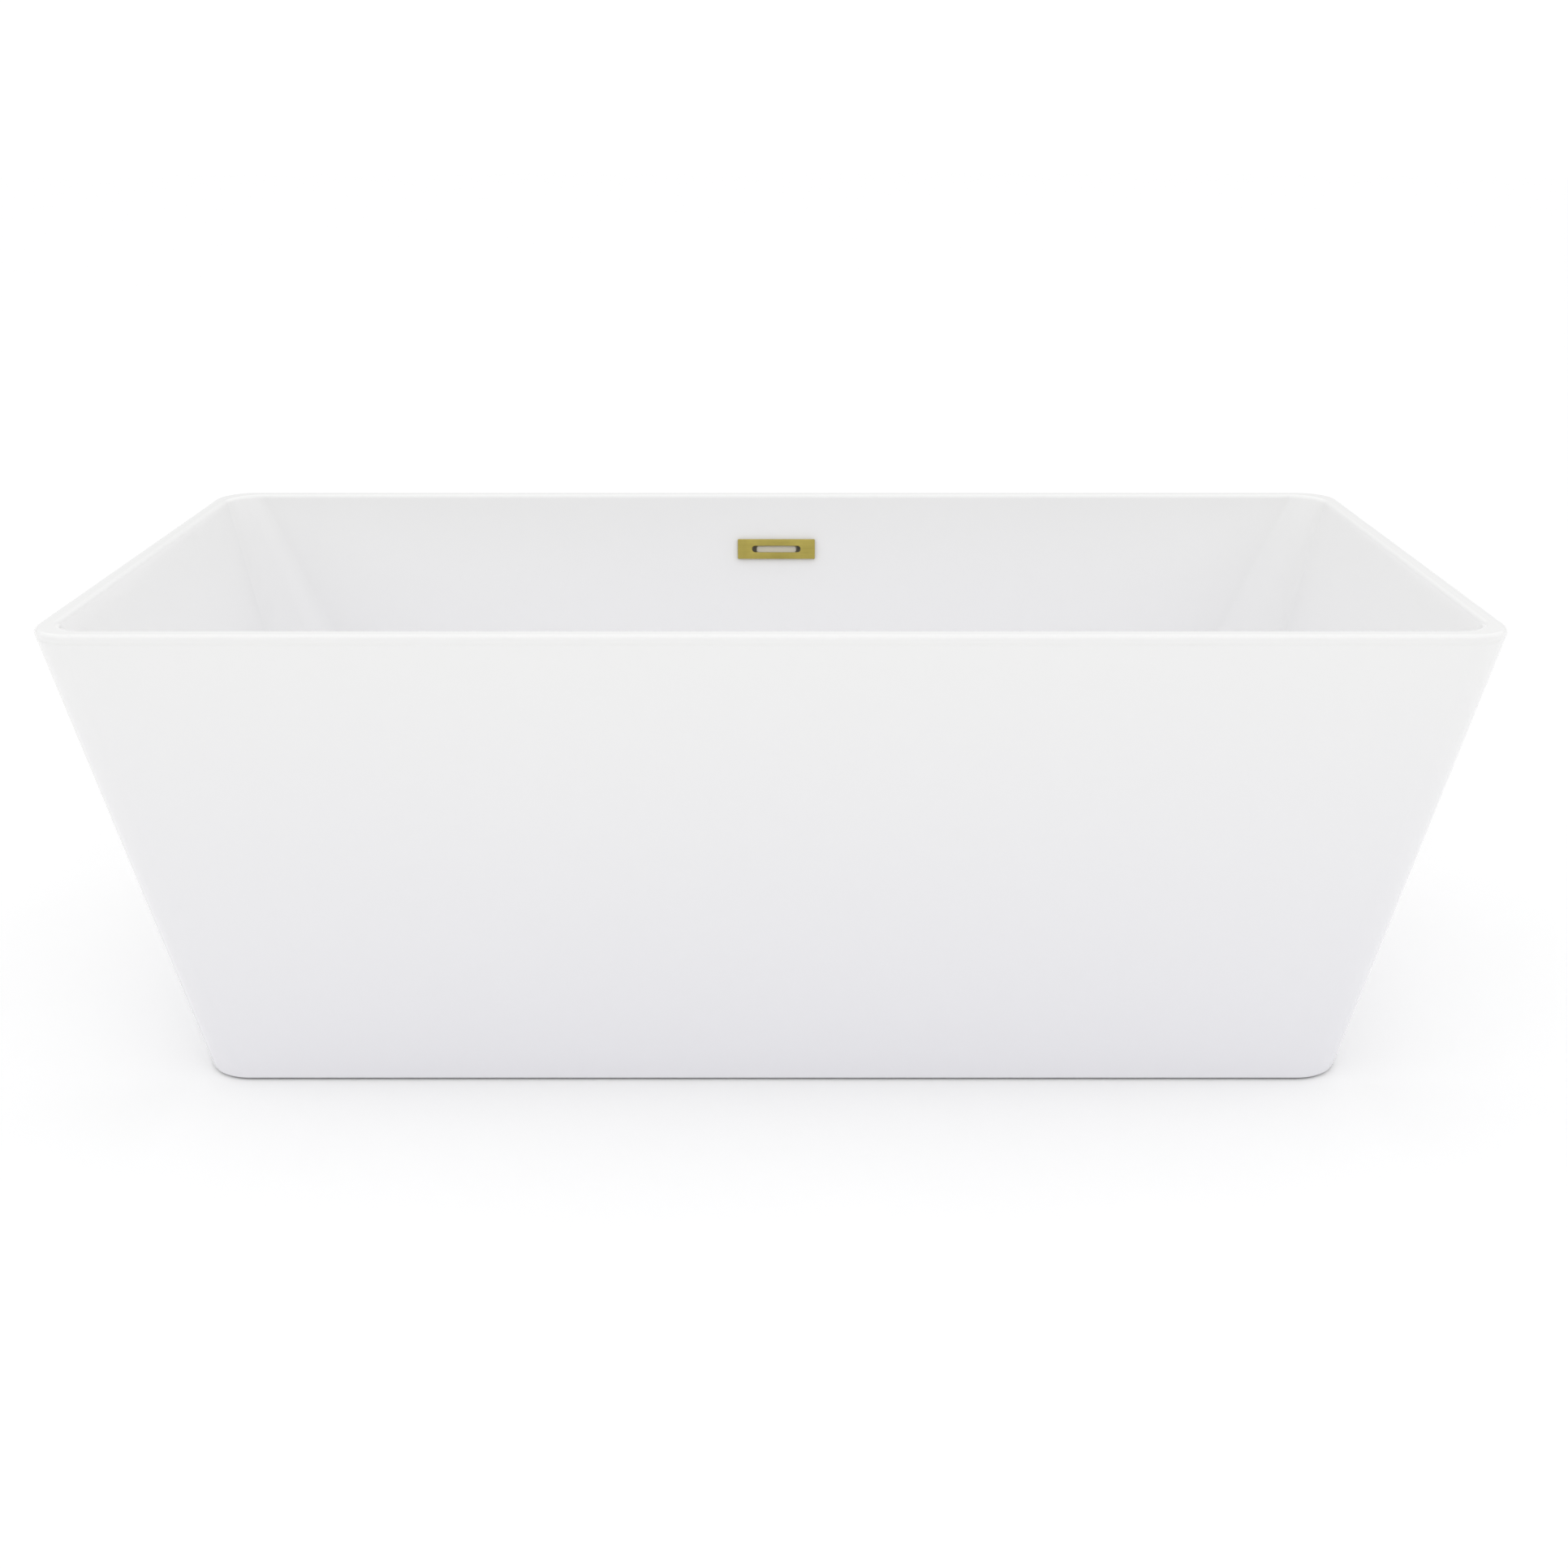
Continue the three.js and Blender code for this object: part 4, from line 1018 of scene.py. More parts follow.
def end_plug(sizes):
    """The ribbed plug in the end of a cross rail, under its domed cap."""
    ribs = []
    for z in (-13, -9.6, -6.2, -2.8):
        ribs += [(11.9, z), (12.7, z + 0.7), (12.7, z + 1.5), (11.9, z + 2.2)]
    cap = [(12.7, 0.29), (15, 0.3), (15, 1.9), (14.5, 2.8), (13.3, 3.3), (9, 3.3)]
    loops = [(h * MM, h * MM, (1 if h < 13 else h - 12) * MM, z * MM) for h, z in ribs + cap]
    plug = place(loft("plug", loops, 4), rotation=(-math.pi / 2, 0, 0))
    return place(plug, (0, RAIL_HALF, rail_top() - sizes.tube / 2))


def skirt_block(sizes):
    """A spruce block bonded inside the skirt, planed to the skirt's slope."""
    wall = Tub(sizes).outer[1]
    low, high = BLOCK_BOTTOM, BLOCK_TOP
    back = sizes.acrylic + SKIRT_LAMINATE + 2 * sizes.gap
    inner = wall.line(low, -back) - BLOCK_DEPTH
    slope = [(wall.line(z, -back), z) for z in (low, high)]
    outline = [(inner, low), *slope, (inner, high)]
    return round_edges(extruded("spruce_block", outline, -45 * MM, 90 * MM), 1.2 * MM)


def angle_bracket(sizes):
    """A folded steel angle with a slot in each leg."""
    wall = Tub(sizes).outer[1]
    back = sizes.acrylic + SKIRT_LAMINATE + 2 * sizes.gap
    outer = wall.line(BLOCK_BOTTOM, -back) - BLOCK_DEPTH - sizes.gap
    under = rail_top() - sizes.tube - sizes.gap
    thick = 3 * MM
    outline = [
        (262 * MM, under - thick),
        (outer - 2.5 * MM, under - thick),
        (outer - 0.7 * MM, under - thick + 0.7 * MM),
        (outer, under - thick + 2.5 * MM),
        (outer, under - thick + 56 * MM),
        (outer - thick, under - thick + 56 * MM),
        (outer - thick, under),
        (262 * MM, under),
    ]
    bracket = extruded("angle_bracket", outline, -20 * MM, 40 * MM)
    slot = [(10 * MM, 3.5 * MM, 3.4 * MM, z) for z in (-10 * MM, 10 * MM)]
    combine(bracket, place(loft("slot", slot, 6), (0, 284 * MM, under)))
    upright = place(loft("slot", slot, 6), rotation=(math.pi / 2, 0, 0))
    combine(bracket, place(upright, (0, outer, under + SCREW_RISE)))
    return round_edges(bracket, 0.4 * MM)


def pan_screw(sizes):
    """A pan-head screw with a cross recess, seen where it holds a bracket to its block."""
    wall = Tub(sizes).outer[1]
    back = sizes.acrylic + SKIRT_LAMINATE + 2 * sizes.gap
    face = wall.line(BLOCK_BOTTOM, -back) - 29 * MM - sizes.gap
    dome = [(0, 0), (5, 0), (5, 1), (4.5, 2), (3.2, 2.8), (1.4, 3.1), (0, 3.1)]
    head = spun("pan_screw", dome, 28)
    for turn in (0, math.pi / 2):
        cut = loft("cross", [(2.4 * MM, 0.5 * MM, 0.2 * MM, z * MM) for z in (1.6, 4)], 2)
        combine(head, place(cut, rotation=(0, 0, turn)))
    place(head, rotation=(math.pi / 2, 0, 0))
    return place(head, (0, face - 0.02 * MM, rail_top() - sizes.tube + SCREW_RISE - sizes.gap))


def make_skirt_fixings(sizes):
    at_corners(lambda: end_plug(sizes), "rail_plug", "black_plastic", True)
    at_corners(lambda: skirt_block(sizes), "skirt_block", "timber", True)
    at_corners(lambda: angle_bracket(sizes), "skirt_bracket", "zinc_steel", True)
    at_corners(lambda: pan_screw(sizes), None, "zinc_steel", True, body="tub")


# ---- The levelling feet --------------------------------------------------------------------------


def thread(name, radius, root, pitch, bottom, top, steps=20):
    """A screw thread, wound past both ends and cut off square."""
    sides = [(root, 0), (radius, 0.42), (radius, 0.58), (root, 1)]
    piece = chain(name, [(r, 0, bottom - 2 * pitch + z * pitch) for r, z in sides])
    bpy.ops.object.mode_set(mode="OBJECT")
    turns = math.ceil((top - bottom) / pitch) + 3
    settings = {"axis": "Z", "angle": math.tau, "screw_offset": pitch, "iterations": turns}
    apply(piece, "SCREW", steps=steps, render_steps=steps, **settings)
    bpy.ops.object.mode_set(mode="EDIT")
    bpy.ops.mesh.select_all(action="SELECT")
    bpy.ops.mesh.remove_doubles(threshold=0.01 * MM)
    for z, side in ((top, 1), (bottom, -1)):
        cut_off(z, side)
    return leave(piece)


def foot_pad():
    """A moulded pad that the stud's ball end turns in, with a raised collar."""
    outline = [
        (0, 0), (23.6, 0), (24.6, 0.3), (25, 1.1), (25, 5), (24.4, 6.6), (22.6, 7.8), (18, 9.3),
        (13.6, 11), (11.6, 12.6), (10.9, 14.6), (10.5, 15.6), (9.8, 16), (6.6, 16), (6.3, 15.6),
        (6.3, 5.2), (0, 5.2),
    ]
    pad = spun("pad", outline, 48)
    for number in range(8):
        notch = [(0, 0), (3, 0), (3, 9), (0, 9)]
        cut = turned("grip", [(r * MM, z * MM - MM) for r, z in notch], 16)
        turn = math.tau * (number + 0.5) / 8
        combine(pad, place(cut, (27 * MM * math.cos(turn), 27 * MM * math.sin(turn), 0)))
    return pad


def foot_stud():
    """An M12 stud with the hexagon that a spanner turns it by."""
    shank = [(0, 5.5), (5.2, 5.5), (5.9, 6.3), (5.9, 24.5), (0, 24.5)]
    stud = spun("stud", shank, 24)
    combine(stud, hexagon("flats", HEX, (16.5 * MM, 23 * MM)), "UNION")
    wound = thread("thread", STUD, 5.05 * MM, 1.75 * MM, 24 * MM, 108.6 * MM)
    combine(stud, wound, "UNION")
    tip = [(0, 108.4), (5.0, 108.4), (4.5, 110), (0, 110)]
    return combine(stud, spun("tip", tip, 20), "UNION")


def lock_nut(sizes):
    top = rail_top() - sizes.tube - NUT - sizes.gap
    return hexagon("lock_nut", HEX, (top - NUT, top), STUD + 0.3 * MM)


def make_feet(sizes):
    at_corners(foot_pad, "foot_pad", "black_plastic")
    at_corners(foot_stud, "foot_stud", "zinc_steel")
    at_corners(lambda: lock_nut(sizes), "foot_locknut", "zinc_steel")


# ---- The floor waste and its stopper -------------------------------------------------------------


def make_waste_flange():
    """The brass flange in the basin's floor: its threaded tube, its crossbar and its hub."""
    ridges = []
    for number in range(14):
        z = 109 + 2.3 * number
        ridges += [(21.3, z), (22, z + 0.9), (22, z + 1.3), (21.3, z + 2.2)]
    dish = [
        (22, 146.8), (35.6, 146.8), (36, 147.2), (36, 148.3), (35.6, 149), (34.6, 149.4),
        (27.4, 149.4), (26, 149.0), (20.2, 146.1), (19.2, 145.0), (19, 144), (19, 108),
    ]
    flange = spun("waste_dish", [(21.3, 108), *ridges, *dish, (21.3, 108)], 64)
    for turn in (0, math.pi / 2):
        bar = [(20.3 * MM, 1.9 * MM, 0.8 * MM, z * MM) for z in (118, 124)]
        combine(flange, place(loft("bar", bar, 3), rotation=(0, 0, turn)), "UNION")
    hub = [(0, 118), (10.8, 118), (11.4, 118.6), (11.4, 123.4), (10.8, 124), (0, 124)]
    combine(flange, spun("hub", hub), "UNION")
    combine(flange, spun("bore", [(0, 110), (8.7, 110), (8.7, 130), (0, 130)], 40))
    return keep(flange, "brass", "waste_flange")


def make_waste(sizes):
    make_waste_flange()
    for node, inner, rim in (("waste_gasket_upper", 24.5, 0.3), ("waste_gasket_lower", 22.8, 0.7)):
        low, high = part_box(node)
        ring = washer(node + "_ring", high.x, inner * MM, low.z, high.z, 56)
        keep(round_edges(ring, rim * MM), "rubber", node)
    low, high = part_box("waste_back_nut")
    nut = hexagon("back_nut", 62 * MM, (low.z, high.z), 22.6 * MM)
    keep(nut, "brass", "waste_back_nut")
    make_waste_cup()
    low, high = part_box("waste_slip_washer")
    ring = washer("slip_washer", high.x, 19.4 * MM, low.z, high.z, 48)
    keep(round_edges(ring, 0.8 * MM), "rubber", "waste_slip_washer")
    tail = washer("tail_pipe", 19 * MM, 17.2 * MM, 18 * MM, 70 * MM, 48)
    keep(round_edges(tail, 0.4 * MM), "white_plastic", "waste_tailpiece")
    make_slip_nut()


def make_waste_cup():
    """The moulded cup under the floor, ribbed outside, with a barbed spigot for the hose."""
    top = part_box("waste_body")[1].z / MM
    shell = [
        (23, 58), (23, 70), (23.6, 71.4), (27, 74.6), (28, 76.6), (28, top - 7), (27.2, top - 6.4),
        (27.2, top - 1), (26.6, top), (22.5, top), (22.5, 78), (19.4, 72), (19.4, 58), (23, 58),
    ]
    cup = spun("waste_cup", shell, 56)
    barbs = [(0, 24), (8, 24)]
    for y in (44, 50, 56):
        barbs += [(7.5, y), (8, y + 0.4), (7.5, y + 5)]
    spigot = spun("spigot", [*barbs, (7.5, 66), (0, 66)], 32)
    place(spigot, rotation=(-math.pi / 2, 0, 0))
    combine(cup, place(spigot, (0, 0, HOSE_Z)), "UNION")
    bore = spun("bore", [(0, 10), (6, 10), (6, 70), (0, 70)], 32)
    place(bore, rotation=(-math.pi / 2, 0, 0))
    combine(cup, place(bore, (0, 0, HOSE_Z)))
    for number in range(10):
        turn = math.tau * (number + 0.5) / 10
        rib = loft("rib", [(0.8 * MM, 0.8 * MM, 0.3 * MM, z * MM) for z in (80, 112)], 2)
        reach = 27.9 * MM
        place(rib, (reach * math.cos(turn), reach * math.sin(turn), 0), (0, 0, turn))
        if abs(math.sin(turn) - 1) > 0.2:
            combine(cup, rib, "UNION")
        else:
            bpy.data.objects.remove(rib)
    return keep(cup, "white_plastic", "waste_body")


def make_slip_nut():
    nut = spun(
        "slip_nut",
        [
            (27.4, 46), (28, 46.6), (28, 65.4), (27.4, 66), (23.4, 66), (23.4, 51), (19.5, 51),
            (19.5, 46), (27.4, 46),
        ],
        60,
    )
    for number in range(6):
        turn = math.tau * number / 6
        wing = loft("wing", [(3 * MM, 4 * MM, 1.4 * MM, z * MM) for z in (48, 64)], 4)
        reach = 27.6 * MM
        place(wing, (reach * math.cos(turn), reach * math.sin(turn), 0), (0, 0, turn))
        combine(nut, round_edges(wing, 0.8 * MM), "UNION")
    return keep(nut, "black_plastic", "waste_slip_nut")


def make_stopper(sizes):
    """The press-down stopper: its domed cap, seal, stem, barrel and spring."""
    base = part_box("stopper_cap")[0].z / MM
    dome = [
        (0, base), (30.2, base), (30.8, base + 0.4), (31, base + 1.2), (31, base + 2.8),
        (30.6, base + 3.7), (29.4, base + 4.3), (22, base + 4.9), (12, base + 5.3), (0, base + 5.4),
    ]
    keep(spun("stopper_dome", dome, 72), "brass", "stopper_cap", degrees=50)
    low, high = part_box("stopper_seal")
    seal = washer("stopper_lip", 29 * MM, 20 * MM, low.z, high.z, 64)
    keep(round_edges(seal, 0.5 * MM), "rubber", "stopper_seal")
    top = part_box("stopper_stem")[1].z / MM
    rod = [
        (0, 108), (2.1, 108), (2.6, 108.5), (2.6, 130), (5, 130), (5.4, 130.4), (5.4, 133.6),
        (5, 134), (2.6, 134), (2.6, top), (0, top),
    ]
    keep(spun("stopper_rod", rod, 24), "zinc_steel", "stopper_stem")
    sleeve = [
        (0, 96), (7.8, 96), (8.4, 96.6), (8.4, 143.4), (7.8, 144), (6.5, 144), (6, 143.5), (6, 99),
        (0, 99),
    ]
    keep(spun("stopper_sleeve", sleeve, 36), "white_plastic", "stopper_barrel")
    make_spring()


def make_spring():
    """A compression spring between the barrel's floor and the stem's collar."""
    low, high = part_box("stopper_spring")
    wire, coils = 0.55 * MM, 5
    spring = start("stopper_coil")
    bpy.ops.mesh.delete(type="VERT")
    bpy.ops.mesh.primitive_circle_add(
        vertices=10,
        radius=wire,
        location=(4.4 * MM, 0, low.z + wire),
        rotation=(math.pi / 2, 0, 0),
    )
    bpy.ops.object.mode_set(mode="OBJECT")
    rise = (high.z - low.z - 2 * wire) / coils
    settings = {"axis": "Z", "angle": math.tau, "screw_offset": rise, "iterations": coils}
    apply(spring, "SCREW", steps=28, render_steps=28, **settings)
    bpy.ops.object.mode_set(mode="EDIT")
    bpy.ops.mesh.select_all(action="SELECT")
    bpy.ops.mesh.fill_holes(sides=0)
    leave(spring)
    shade(spring)
    spring.data.materials.append(finish("zinc_steel"))
    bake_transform(spring)
    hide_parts("stopper_spring")


# ---- The overflow --------------------------------------------------------------------------------

OUTLET_Y = 21.2 * MM
OUTLET_BOTTOM = -58 * MM
HOSE_Z = 86 * MM


def on_wall(piece, sizes):
    """Lays a piece flat on the basin's wall. Its +Z comes to point into the basin."""
    return place(piece, *overflow_place(sizes))


def behind_wall(piece, sizes, location=(0, 0, 0)):
    """Puts a piece upright behind the overflow, leaning as the wall leans."""
    spot, turn = overflow_place(sizes)
    place(piece, location)
    return place(piece, spot, (turn[0] - math.pi / 2, 0, 0))


def make_overflow_plate(sizes):
    """The brushed brass plate with its long slot, edges and slot softly broken."""
    back = 1.5
    outside = [
        (58.6, 14.6, 1.2, 0), (59, 15, 1.5, 0.4), (59, 15, 1.5, 3.2), (58.85, 14.85, 1.4, 3.55),
        (58.4, 14.4, 1.1, 3.8),
    ]
    inside = [
        (37.7, 5.5, 5.45, 3.8), (37.25, 5.05, 5.0, 3.65), (37, 4.8, 4.75, 3.3), (37, 4.8, 4.75, 0),
    ]
    loops = [tuple(v * MM for v in (x, y, c, z + back)) for x, y, c, z in outside + inside]
    plate = on_wall(loft("slotted_plate", loops, 12, ring=True), sizes)
    return keep(plate, "brass", "overflow_plate", degrees=50)


def make_overflow_gasket(sizes):
    loops = [
        (55 * MM, 13 * MM, 6 * MM, 0.35 * MM),
        (55 * MM, 13 * MM, 6 * MM, 1.15 * MM),
        (42 * MM, 8 * MM, 7.9 * MM, 1.15 * MM),
        (42 * MM, 8 * MM, 7.9 * MM, 0.35 * MM),
    ]
    gasket = on_wall(loft("overflow_seal", loops, 10, ring=True), sizes)
    return keep(gasket, "rubber", "overflow_gasket")


def make_overflow_body(sizes):
    """The moulded chamber behind the wall, open towards the slot, with its outlet below."""
    loops = [
        (45.4, 11.4, 7.4, -18.6), (46, 12, 8, -18), (46, 12, 8, -9), (46.4, 12.4, 8.4, -8.6),
        (51.6, 16.6, 7.6, -8.6), (52, 17, 8, -9), (52, 17, 8, -19.6), (51, 16, 7, -20.6),
    ]
    body = loft("overflow_chamber", [tuple(v * MM for v in loop) for loop in loops], 8)
    on_wall(body, sizes)
    pad = [(31, 7, 6, -18.7), (31, 7, 6, -4), (29.6, 6.2, 5.4, -2.4), (26, 4.4, 4, -1.8)]
    pad = loft("pad", [tuple(v * MM for v in loop) for loop in pad], 8)
    combine(body, on_wall(pad, sizes), "UNION")
    drop = OUTLET_BOTTOM / MM
    barbs = []
    for z in (drop + 5, drop + 11, drop + 17):
        barbs += [(7.5, z - 5), (8, z - 0.4), (7.5, z)]
    neck = [(8, -29), (9, -28), (9, -13.5), (8, -12.5), (0, -12.5)]
    pipe = [(0, drop), *barbs, (8, drop + 22), *neck]
    outlet = behind_wall(spun("outlet", pipe, 32), sizes, (0, OUTLET_Y, 0))
    combine(body, outlet, "UNION")
    bore = spun("bore", [(0, drop - 1), (6, drop - 1), (6, -15), (0, -15)], 32)
    combine(body, behind_wall(bore, sizes, (0, OUTLET_Y, 0)))
    throat = loft("throat", [(5 * MM, 2.5 * MM, 0.5 * MM, z * MM) for z in (-18.5, -9.5)], 2)
    combine(body, behind_wall(throat, sizes, (0, OUTLET_Y - 5 * MM, 0)))
    return keep(body, "white_plastic", "overflow_body")


def hose_route(sizes):
    """The hose's centre line: down behind the wall, under the board and the rail to the waste."""
    spot, turn = overflow_place(sizes)
    lean = Matrix.Rotation(turn[0] - math.pi / 2, 3, "X")
    outlet = [
        Vector(spot) + lean @ Vector((0, OUTLET_Y, OUTLET_BOTTOM + rise)) for rise in (26 * MM, 0)
    ]
    low = [
        (346, 380), (330, 290), (300, 190), (254, 122), (190, 85), (120, 81), (66, 86), (44, 86),
    ]
    return smooth_line([*outlet, *(Vector((0, y * MM, z * MM)) for y, z in low)], 12)


def smooth_line(stations, count):
    """A line of points that passes smoothly through the stations, however far apart they are."""
    first, last = stations[0] * 2 - stations[1], stations[-1] * 2 - stations[-2]
    padded = [first, *stations, last]
    line = []
    for a, b, c, d in zip(padded, padded[1:], padded[2:], padded[3:]):
        before, here, after = (math.sqrt((q - p).length) for p, q in ((a, b), (b, c), (c, d)))
        leave_b = (b - a) / before - (c - a) / (before + here) + (c - b) / here
        reach_c = (c - b) / here - (d - b) / (here + after) + (d - c) / after
        third = here / 3
        line += interpolate_bezier(b, b + leave_b * third, c - reach_c * third, c, count)[:-1]
    return [*line, stations[-1]]


def make_hose(sizes):
    """A corrugated hose: one rib, repeated down its length, given a wall and bent to its route."""
    route = hose_route(sizes)
    run = sum((b - a).length for a, b in zip(route, route[1:]))
    ribs = round(run / (4 * MM))
    pitch = run / ribs
    wave = [(9.5, 0), (9.6, 0.1), (10.3, 0.3), (10.5, 0.5), (10.3, 0.7), (9.6, 0.9), (9.5, 1)]
    hose = turned("corrugated_hose", [(r * MM, z * pitch) for r, z in wave], 18)
    offset = (0, 0, pitch)
    settings = {"use_relative_offset": False, "use_constant_offset": True, "count": ribs}
    apply(hose, "ARRAY", constant_offset_displace=offset, use_merge_vertices=True, **settings)
    apply(hose, "SOLIDIFY", thickness=0.7 * MM, offset=-1, use_rim=True)
    line = bpy.data.curves.new("hose_line", "CURVE")
    line.dimensions = "3D"
    spline = line.splines.new("POLY")
    spline.points.add(len(route) - 1)
    for point, place_on in zip(spline.points, route):
        point.co = (*place_on, 1)
    guide = bpy.data.objects.new("hose_line", line)
    bpy.context.scene.collection.objects.link(guide)
    apply(hose, "CURVE", object=guide, deform_axis="POS_Z")
    bpy.data.objects.remove(guide)
    return keep(hose, "hose", "overflow_hose", degrees=60)


def hose_clip():
    """A worm-drive clip: a band, the screw's housing and the screw with its slotted head."""
    band = washer("worm_clip", 11.7 * MM, 10.8 * MM, -4 * MM, 4 * MM, 48)
    round_edges(band, 0.3 * MM)
    housing = loft("housing", [(2.75 * MM, 4.5 * MM, 1.2 * MM, z * MM) for z in (-4.3, 4.3)], 4)
    place(round_edges(housing, 0.6 * MM), (14.1 * MM, 0, 0))
    combine(band, housing, "UNION")
    head = hexagon("head", 7 * MM, (3.9 * MM, 8 * MM))
    slot = loft("slot", [(4.6 * MM, 0.5 * MM, 0.1 * MM, z * MM) for z in (6.8, 9)], 2)
    combine(head, slot)
    place(head, rotation=(-math.pi / 2, 0, 0))
    return combine(band, place(head, (14.3 * MM, 0, 0)), "UNION")


def make_clips(sizes):
    upper = hose_clip()
    lower = duplicate(upper, "worm_clip_lower")
    behind_wall(upper, sizes, (0, OUTLET_Y, OUTLET_BOTTOM + 14 * MM))
    keep(upper, "zinc_steel", "hose_clip_upper")
    place(lower, (0, 56 * MM, HOSE_Z), (-math.pi / 2, 0, 0))
    keep(lower, "zinc_steel", "hose_clip_lower")


# ---- The stage -----------------------------------------------------------------------------------


def make_floor(colours):
    """Seamless paper on the floor, in one piece out to its soft edge."""
    paper = turned("studio_floor", [(0, 0), (3, 0), (12, 0), (30, 0), (30, -0.02), (0, -0.02)], 96)
    place(paper, (0, 0, -0.5 * MM))
    shade(paper)
    paper.data.materials.append(studio_floor(colours.floor))


def make_lights(settings):
    """A white studio all round, darker low behind the camera and above the backdrop, with two
    wide soft boxes in front."""
    world = bpy.data.worlds.new("white_studio")
    bpy.context.scene.world = world
    world.use_nodes = True
    tree = world.node_tree
    back = tree.nodes["Background"]
    way = add(tree, "TexCoord").outputs["Generated"]
    along, up = add(tree, "SeparateXYZ", None, {0: way}).outputs[1:]

    # How far the world is dimmed, and the smooth ramps (axis, start, end) that bound the dim part.
    dimmed = (
        (-0.85, ((along, 0.1, -0.5), (up, 0.36, 0.04))),
        (-0.34, ((along, 0.1, 0.6), (up, 0.06, 0.16), (up, 0.6, 0.35))),
    )
    one = add(tree, "Value").outputs[0]
    one.default_value = 1.0
    share = one
    for amount, ramps in dimmed:
        patch = one
        for source, start, end in ramps:
            span = {"From Min": start, "From Max": end}
            links = {"Value": source}
            ramp = add(tree, "MapRange", span, links, interpolation_type="SMOOTHSTEP").outputs[0]
            patch = add(tree, "Math", None, {0: patch, 1: ramp}, operation="MULTIPLY").outputs[0]
        links = {0: patch, 2: share}
        share = add(tree, "Math", {1: amount}, links, operation="MULTIPLY_ADD").outputs[0]
    level = add(tree, "Math", {1: settings.surround}, {0: share}, operation="MULTIPLY")
    tree.links.new(level.outputs[0], back.inputs["Strength"])
    back.inputs["Color"].default_value = (1, 1, 1, 1)
    for name, spot, size, power in (
        ("key_soft_box", (1.2, -3.0, 3.6), 2.8, 8),
        ("fill_soft_box", (-2.2, -1.8, 3.6), 2.4, 3),
    ):
        box = bpy.data.lights.new(name, "AREA")
        box.shape = "SQUARE"
        box.size = size
        box.energy = power
        holder = bpy.data.objects.new(name, box)
        bpy.context.scene.collection.objects.link(holder)
        holder.location = spot
        aim = Vector((0, 0, 0.4)) - Vector(spot)
        holder.rotation_euler = aim.to_track_quat("-Z", "Y").to_euler()


def make_camera(settings):
    lens = bpy.data.cameras.new("studio_camera")
    lens.sensor_width = 36
    lens.lens = settings.lens
    lens.shift_x = settings.shift
    lens.dof.use_dof = False
    camera = bpy.data.objects.new("studio_camera", lens)
    bpy.context.scene.collection.objects.link(camera)
    camera.location = (settings.sideways, -settings.distance, settings.camera_height)
    camera.rotation_euler = (math.pi / 2 - settings.tilt, 0, 0)
    bpy.context.scene.camera = camera


# ---- The add-on ----------------------------------------------------------------------------------


class BATHTUB_OT_stage(bpy.types.Operator):
    """Sets up the camera, the white studio and the floor"""

    bl_idname = "bathtub.stage"
    bl_label = "Studio"

    def execute(self, context):
        make_camera(context.scene.tub_stage)
        make_lights(context.scene.tub_stage)
        make_floor(context.scene.tub_stage)
        context.scene.view_settings.view_transform = "Standard"
        return {"FINISHED"}


class Makes:
    """Runs the functions that make one group of pieces."""

    makers = ()

    def execute(self, context):
        for make in self.makers:
            make(context.scene.tub_sizes)
        return {"FINISHED"}


class BATHTUB_OT_basin(Makes, bpy.types.Operator):
    """Makes the basin's acrylic shell with its rim, and the laminate on its back"""

    bl_idname = "bathtub.basin"
    bl_label = "Basin"
    makers = (make_basin, make_basin_laminate)


class BATHTUB_OT_skirt(Makes, bpy.types.Operator):
    """Makes the skirt, the laminate on its back and the filled seam under the rim"""

    bl_idname = "bathtub.skirt"
    bl_label = "Skirt and seam"
    makers = (make_skirt, make_seam, make_skirt_laminate)


class BATHTUB_OT_board(Makes, bpy.types.Operator):
    """Makes the chipboard that stiffens the basin's floor"""

    bl_idname = "bathtub.board"
    bl_label = "Base board"
    makers = (make_board,)


class BATHTUB_OT_frame(Makes, bpy.types.Operator):
    """Makes the welded steel frame with the nuts for the feet"""

    bl_idname = "bathtub.frame"
    bl_label = "Steel frame"
    makers = (make_frame,)


class BATHTUB_OT_skirt_fixings(Makes, bpy.types.Operator):
    """Makes the rail plugs, the spruce blocks, the brackets and their screws"""

    bl_idname = "bathtub.skirt_fixings"
    bl_label = "Skirt fixings"
    makers = (make_skirt_fixings,)


class BATHTUB_OT_feet(Makes, bpy.types.Operator):
    """Makes the four levelling feet: pads, threaded studs and lock nuts"""

    bl_idname = "bathtub.feet"
    bl_label = "Levelling feet"
    makers = (make_feet,)


class BATHTUB_OT_waste(Makes, bpy.types.Operator):
    """Makes the floor waste from its brass flange down to the tail pipe"""

    bl_idname = "bathtub.waste"
    bl_label = "Floor waste"
    makers = (make_waste,)


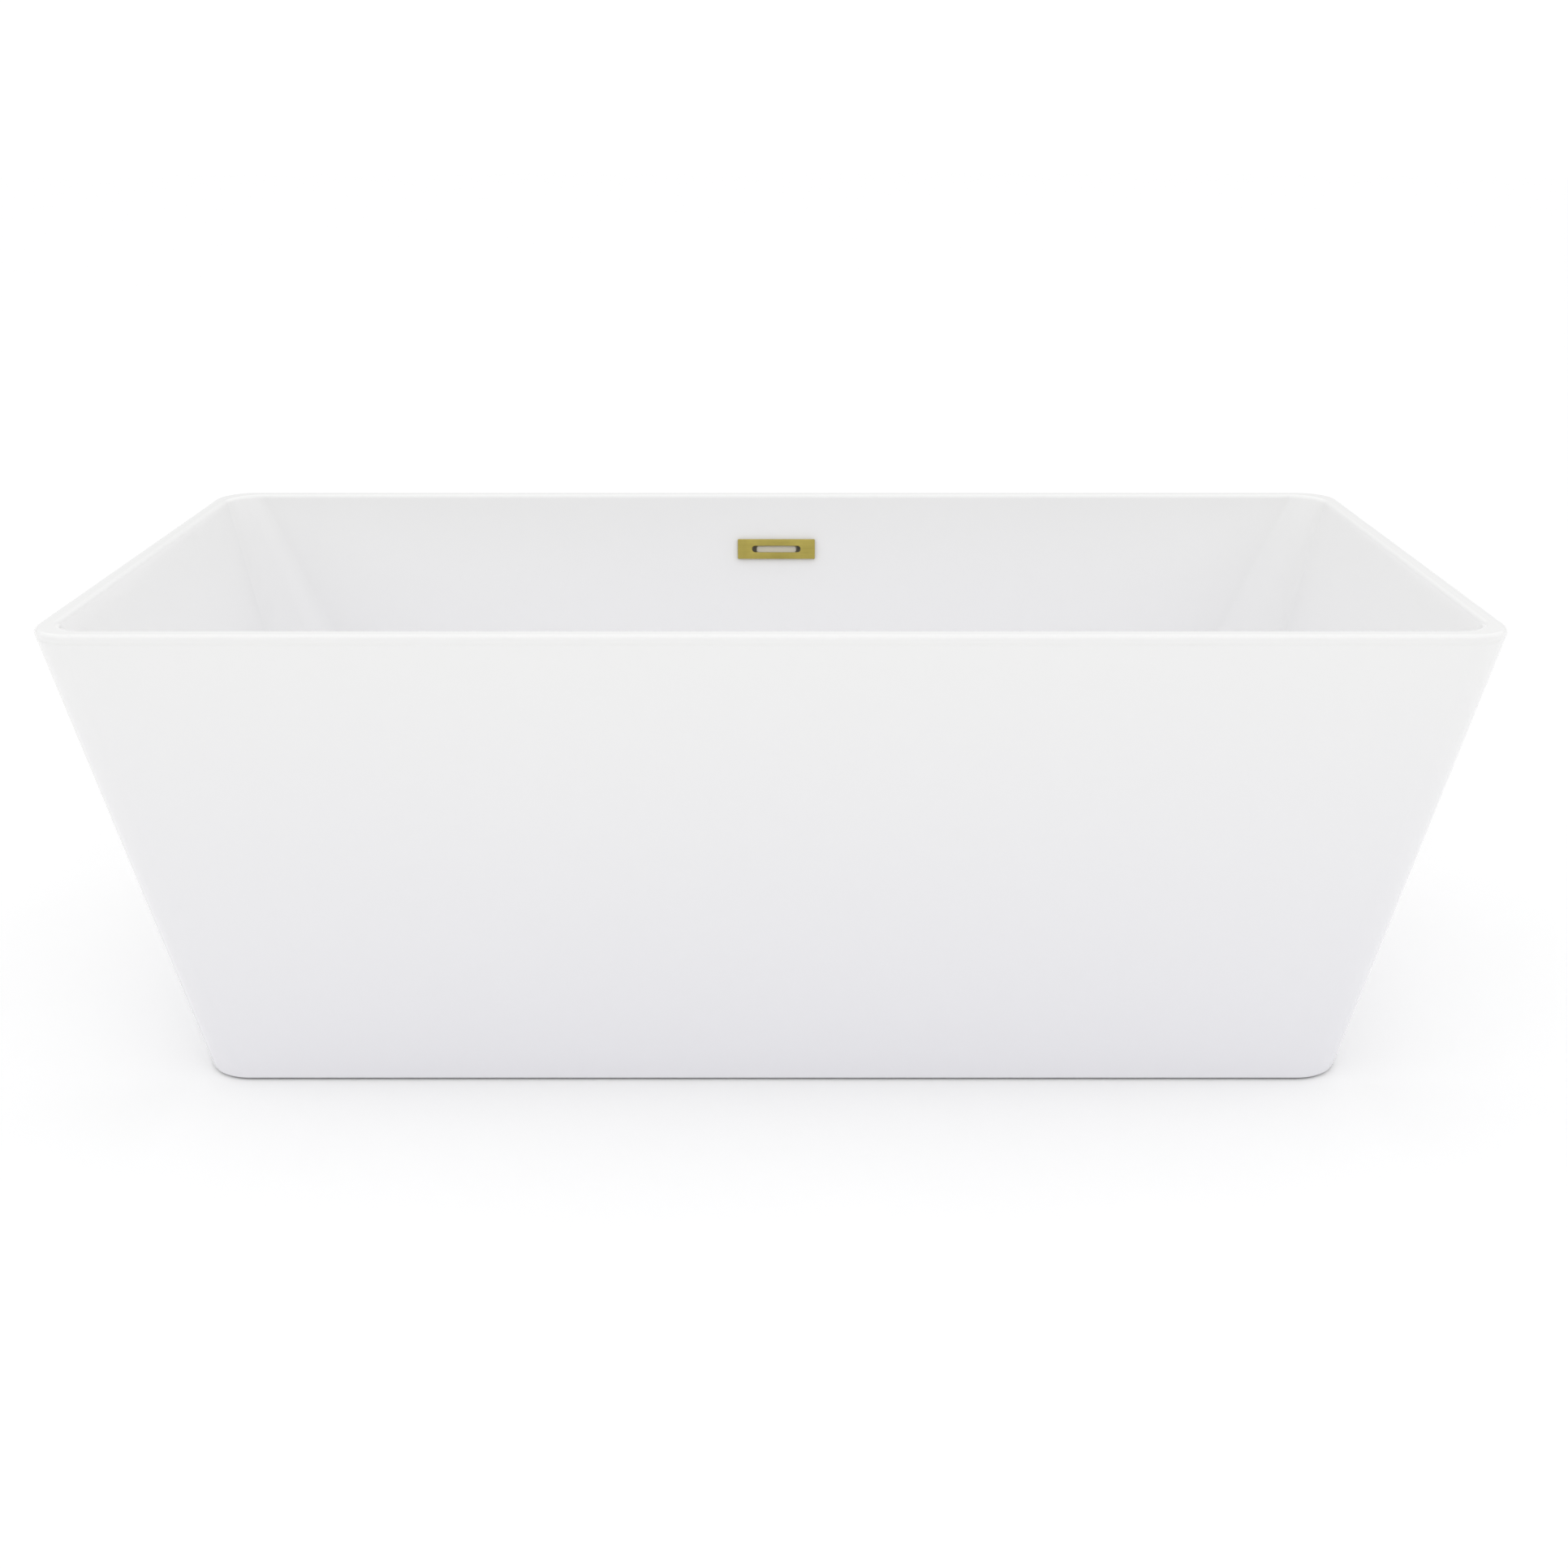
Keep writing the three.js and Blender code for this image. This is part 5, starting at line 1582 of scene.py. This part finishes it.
class BATHTUB_OT_stopper(Makes, bpy.types.Operator):
    """Makes the press-down stopper with its barrel and its spring"""

    bl_idname = "bathtub.stopper"
    bl_label = "Stopper"
    makers = (make_stopper,)


class BATHTUB_OT_overflow(Makes, bpy.types.Operator):
    """Makes the overflow's brass plate, its gasket and the chamber behind the wall"""

    bl_idname = "bathtub.overflow"
    bl_label = "Overflow"
    makers = (make_overflow_plate, make_overflow_gasket, make_overflow_body)


class BATHTUB_OT_hose(Makes, bpy.types.Operator):
    """Makes the corrugated overflow hose and its two clips"""

    bl_idname = "bathtub.hose"
    bl_label = "Hose and clips"
    makers = (make_hose, make_clips)


class BATHTUB_PT_panel(bpy.types.Panel):
    """Lists the pieces, their sizes and their finishes"""

    bl_idname = "BATHTUB_PT_panel"
    bl_label = "Bathtub"
    bl_space_type = "VIEW_3D"
    bl_region_type = "UI"
    bl_category = "Bathtub"

    def draw(self, context):
        for operator in OPERATORS:
            self.layout.operator(operator.bl_idname)
        for name in SETTINGS:
            group = getattr(context.scene, name)
            for setting in group.bl_rna.properties:
                if setting.identifier not in ("rna_type", "name"):
                    self.layout.prop(group, setting.identifier)


SETTINGS = {"tub_sizes": TubSizes, "tub_finish": TubFinish, "tub_stage": TubStage}
OPERATORS = (
    BATHTUB_OT_stage,
    BATHTUB_OT_basin,
    BATHTUB_OT_skirt,
    BATHTUB_OT_board,
    BATHTUB_OT_frame,
    BATHTUB_OT_skirt_fixings,
    BATHTUB_OT_feet,
    BATHTUB_OT_waste,
    BATHTUB_OT_stopper,
    BATHTUB_OT_overflow,
    BATHTUB_OT_hose,
)
CLASSES = (*SETTINGS.values(), *OPERATORS, BATHTUB_PT_panel)


def register():
    for item in CLASSES:
        bpy.utils.register_class(item)
    for name, group in SETTINGS.items():
        setattr(bpy.types.Scene, name, bpy.props.PointerProperty(type=group))


def unregister():
    for name in SETTINGS:
        delattr(bpy.types.Scene, name)
    for item in reversed(CLASSES):
        bpy.utils.unregister_class(item)


def main():
    register()
    for operator in OPERATORS:
        family, name = operator.bl_idname.split(".")
        getattr(getattr(bpy.ops, family), name)()


if __name__ == "__main__":
    main()
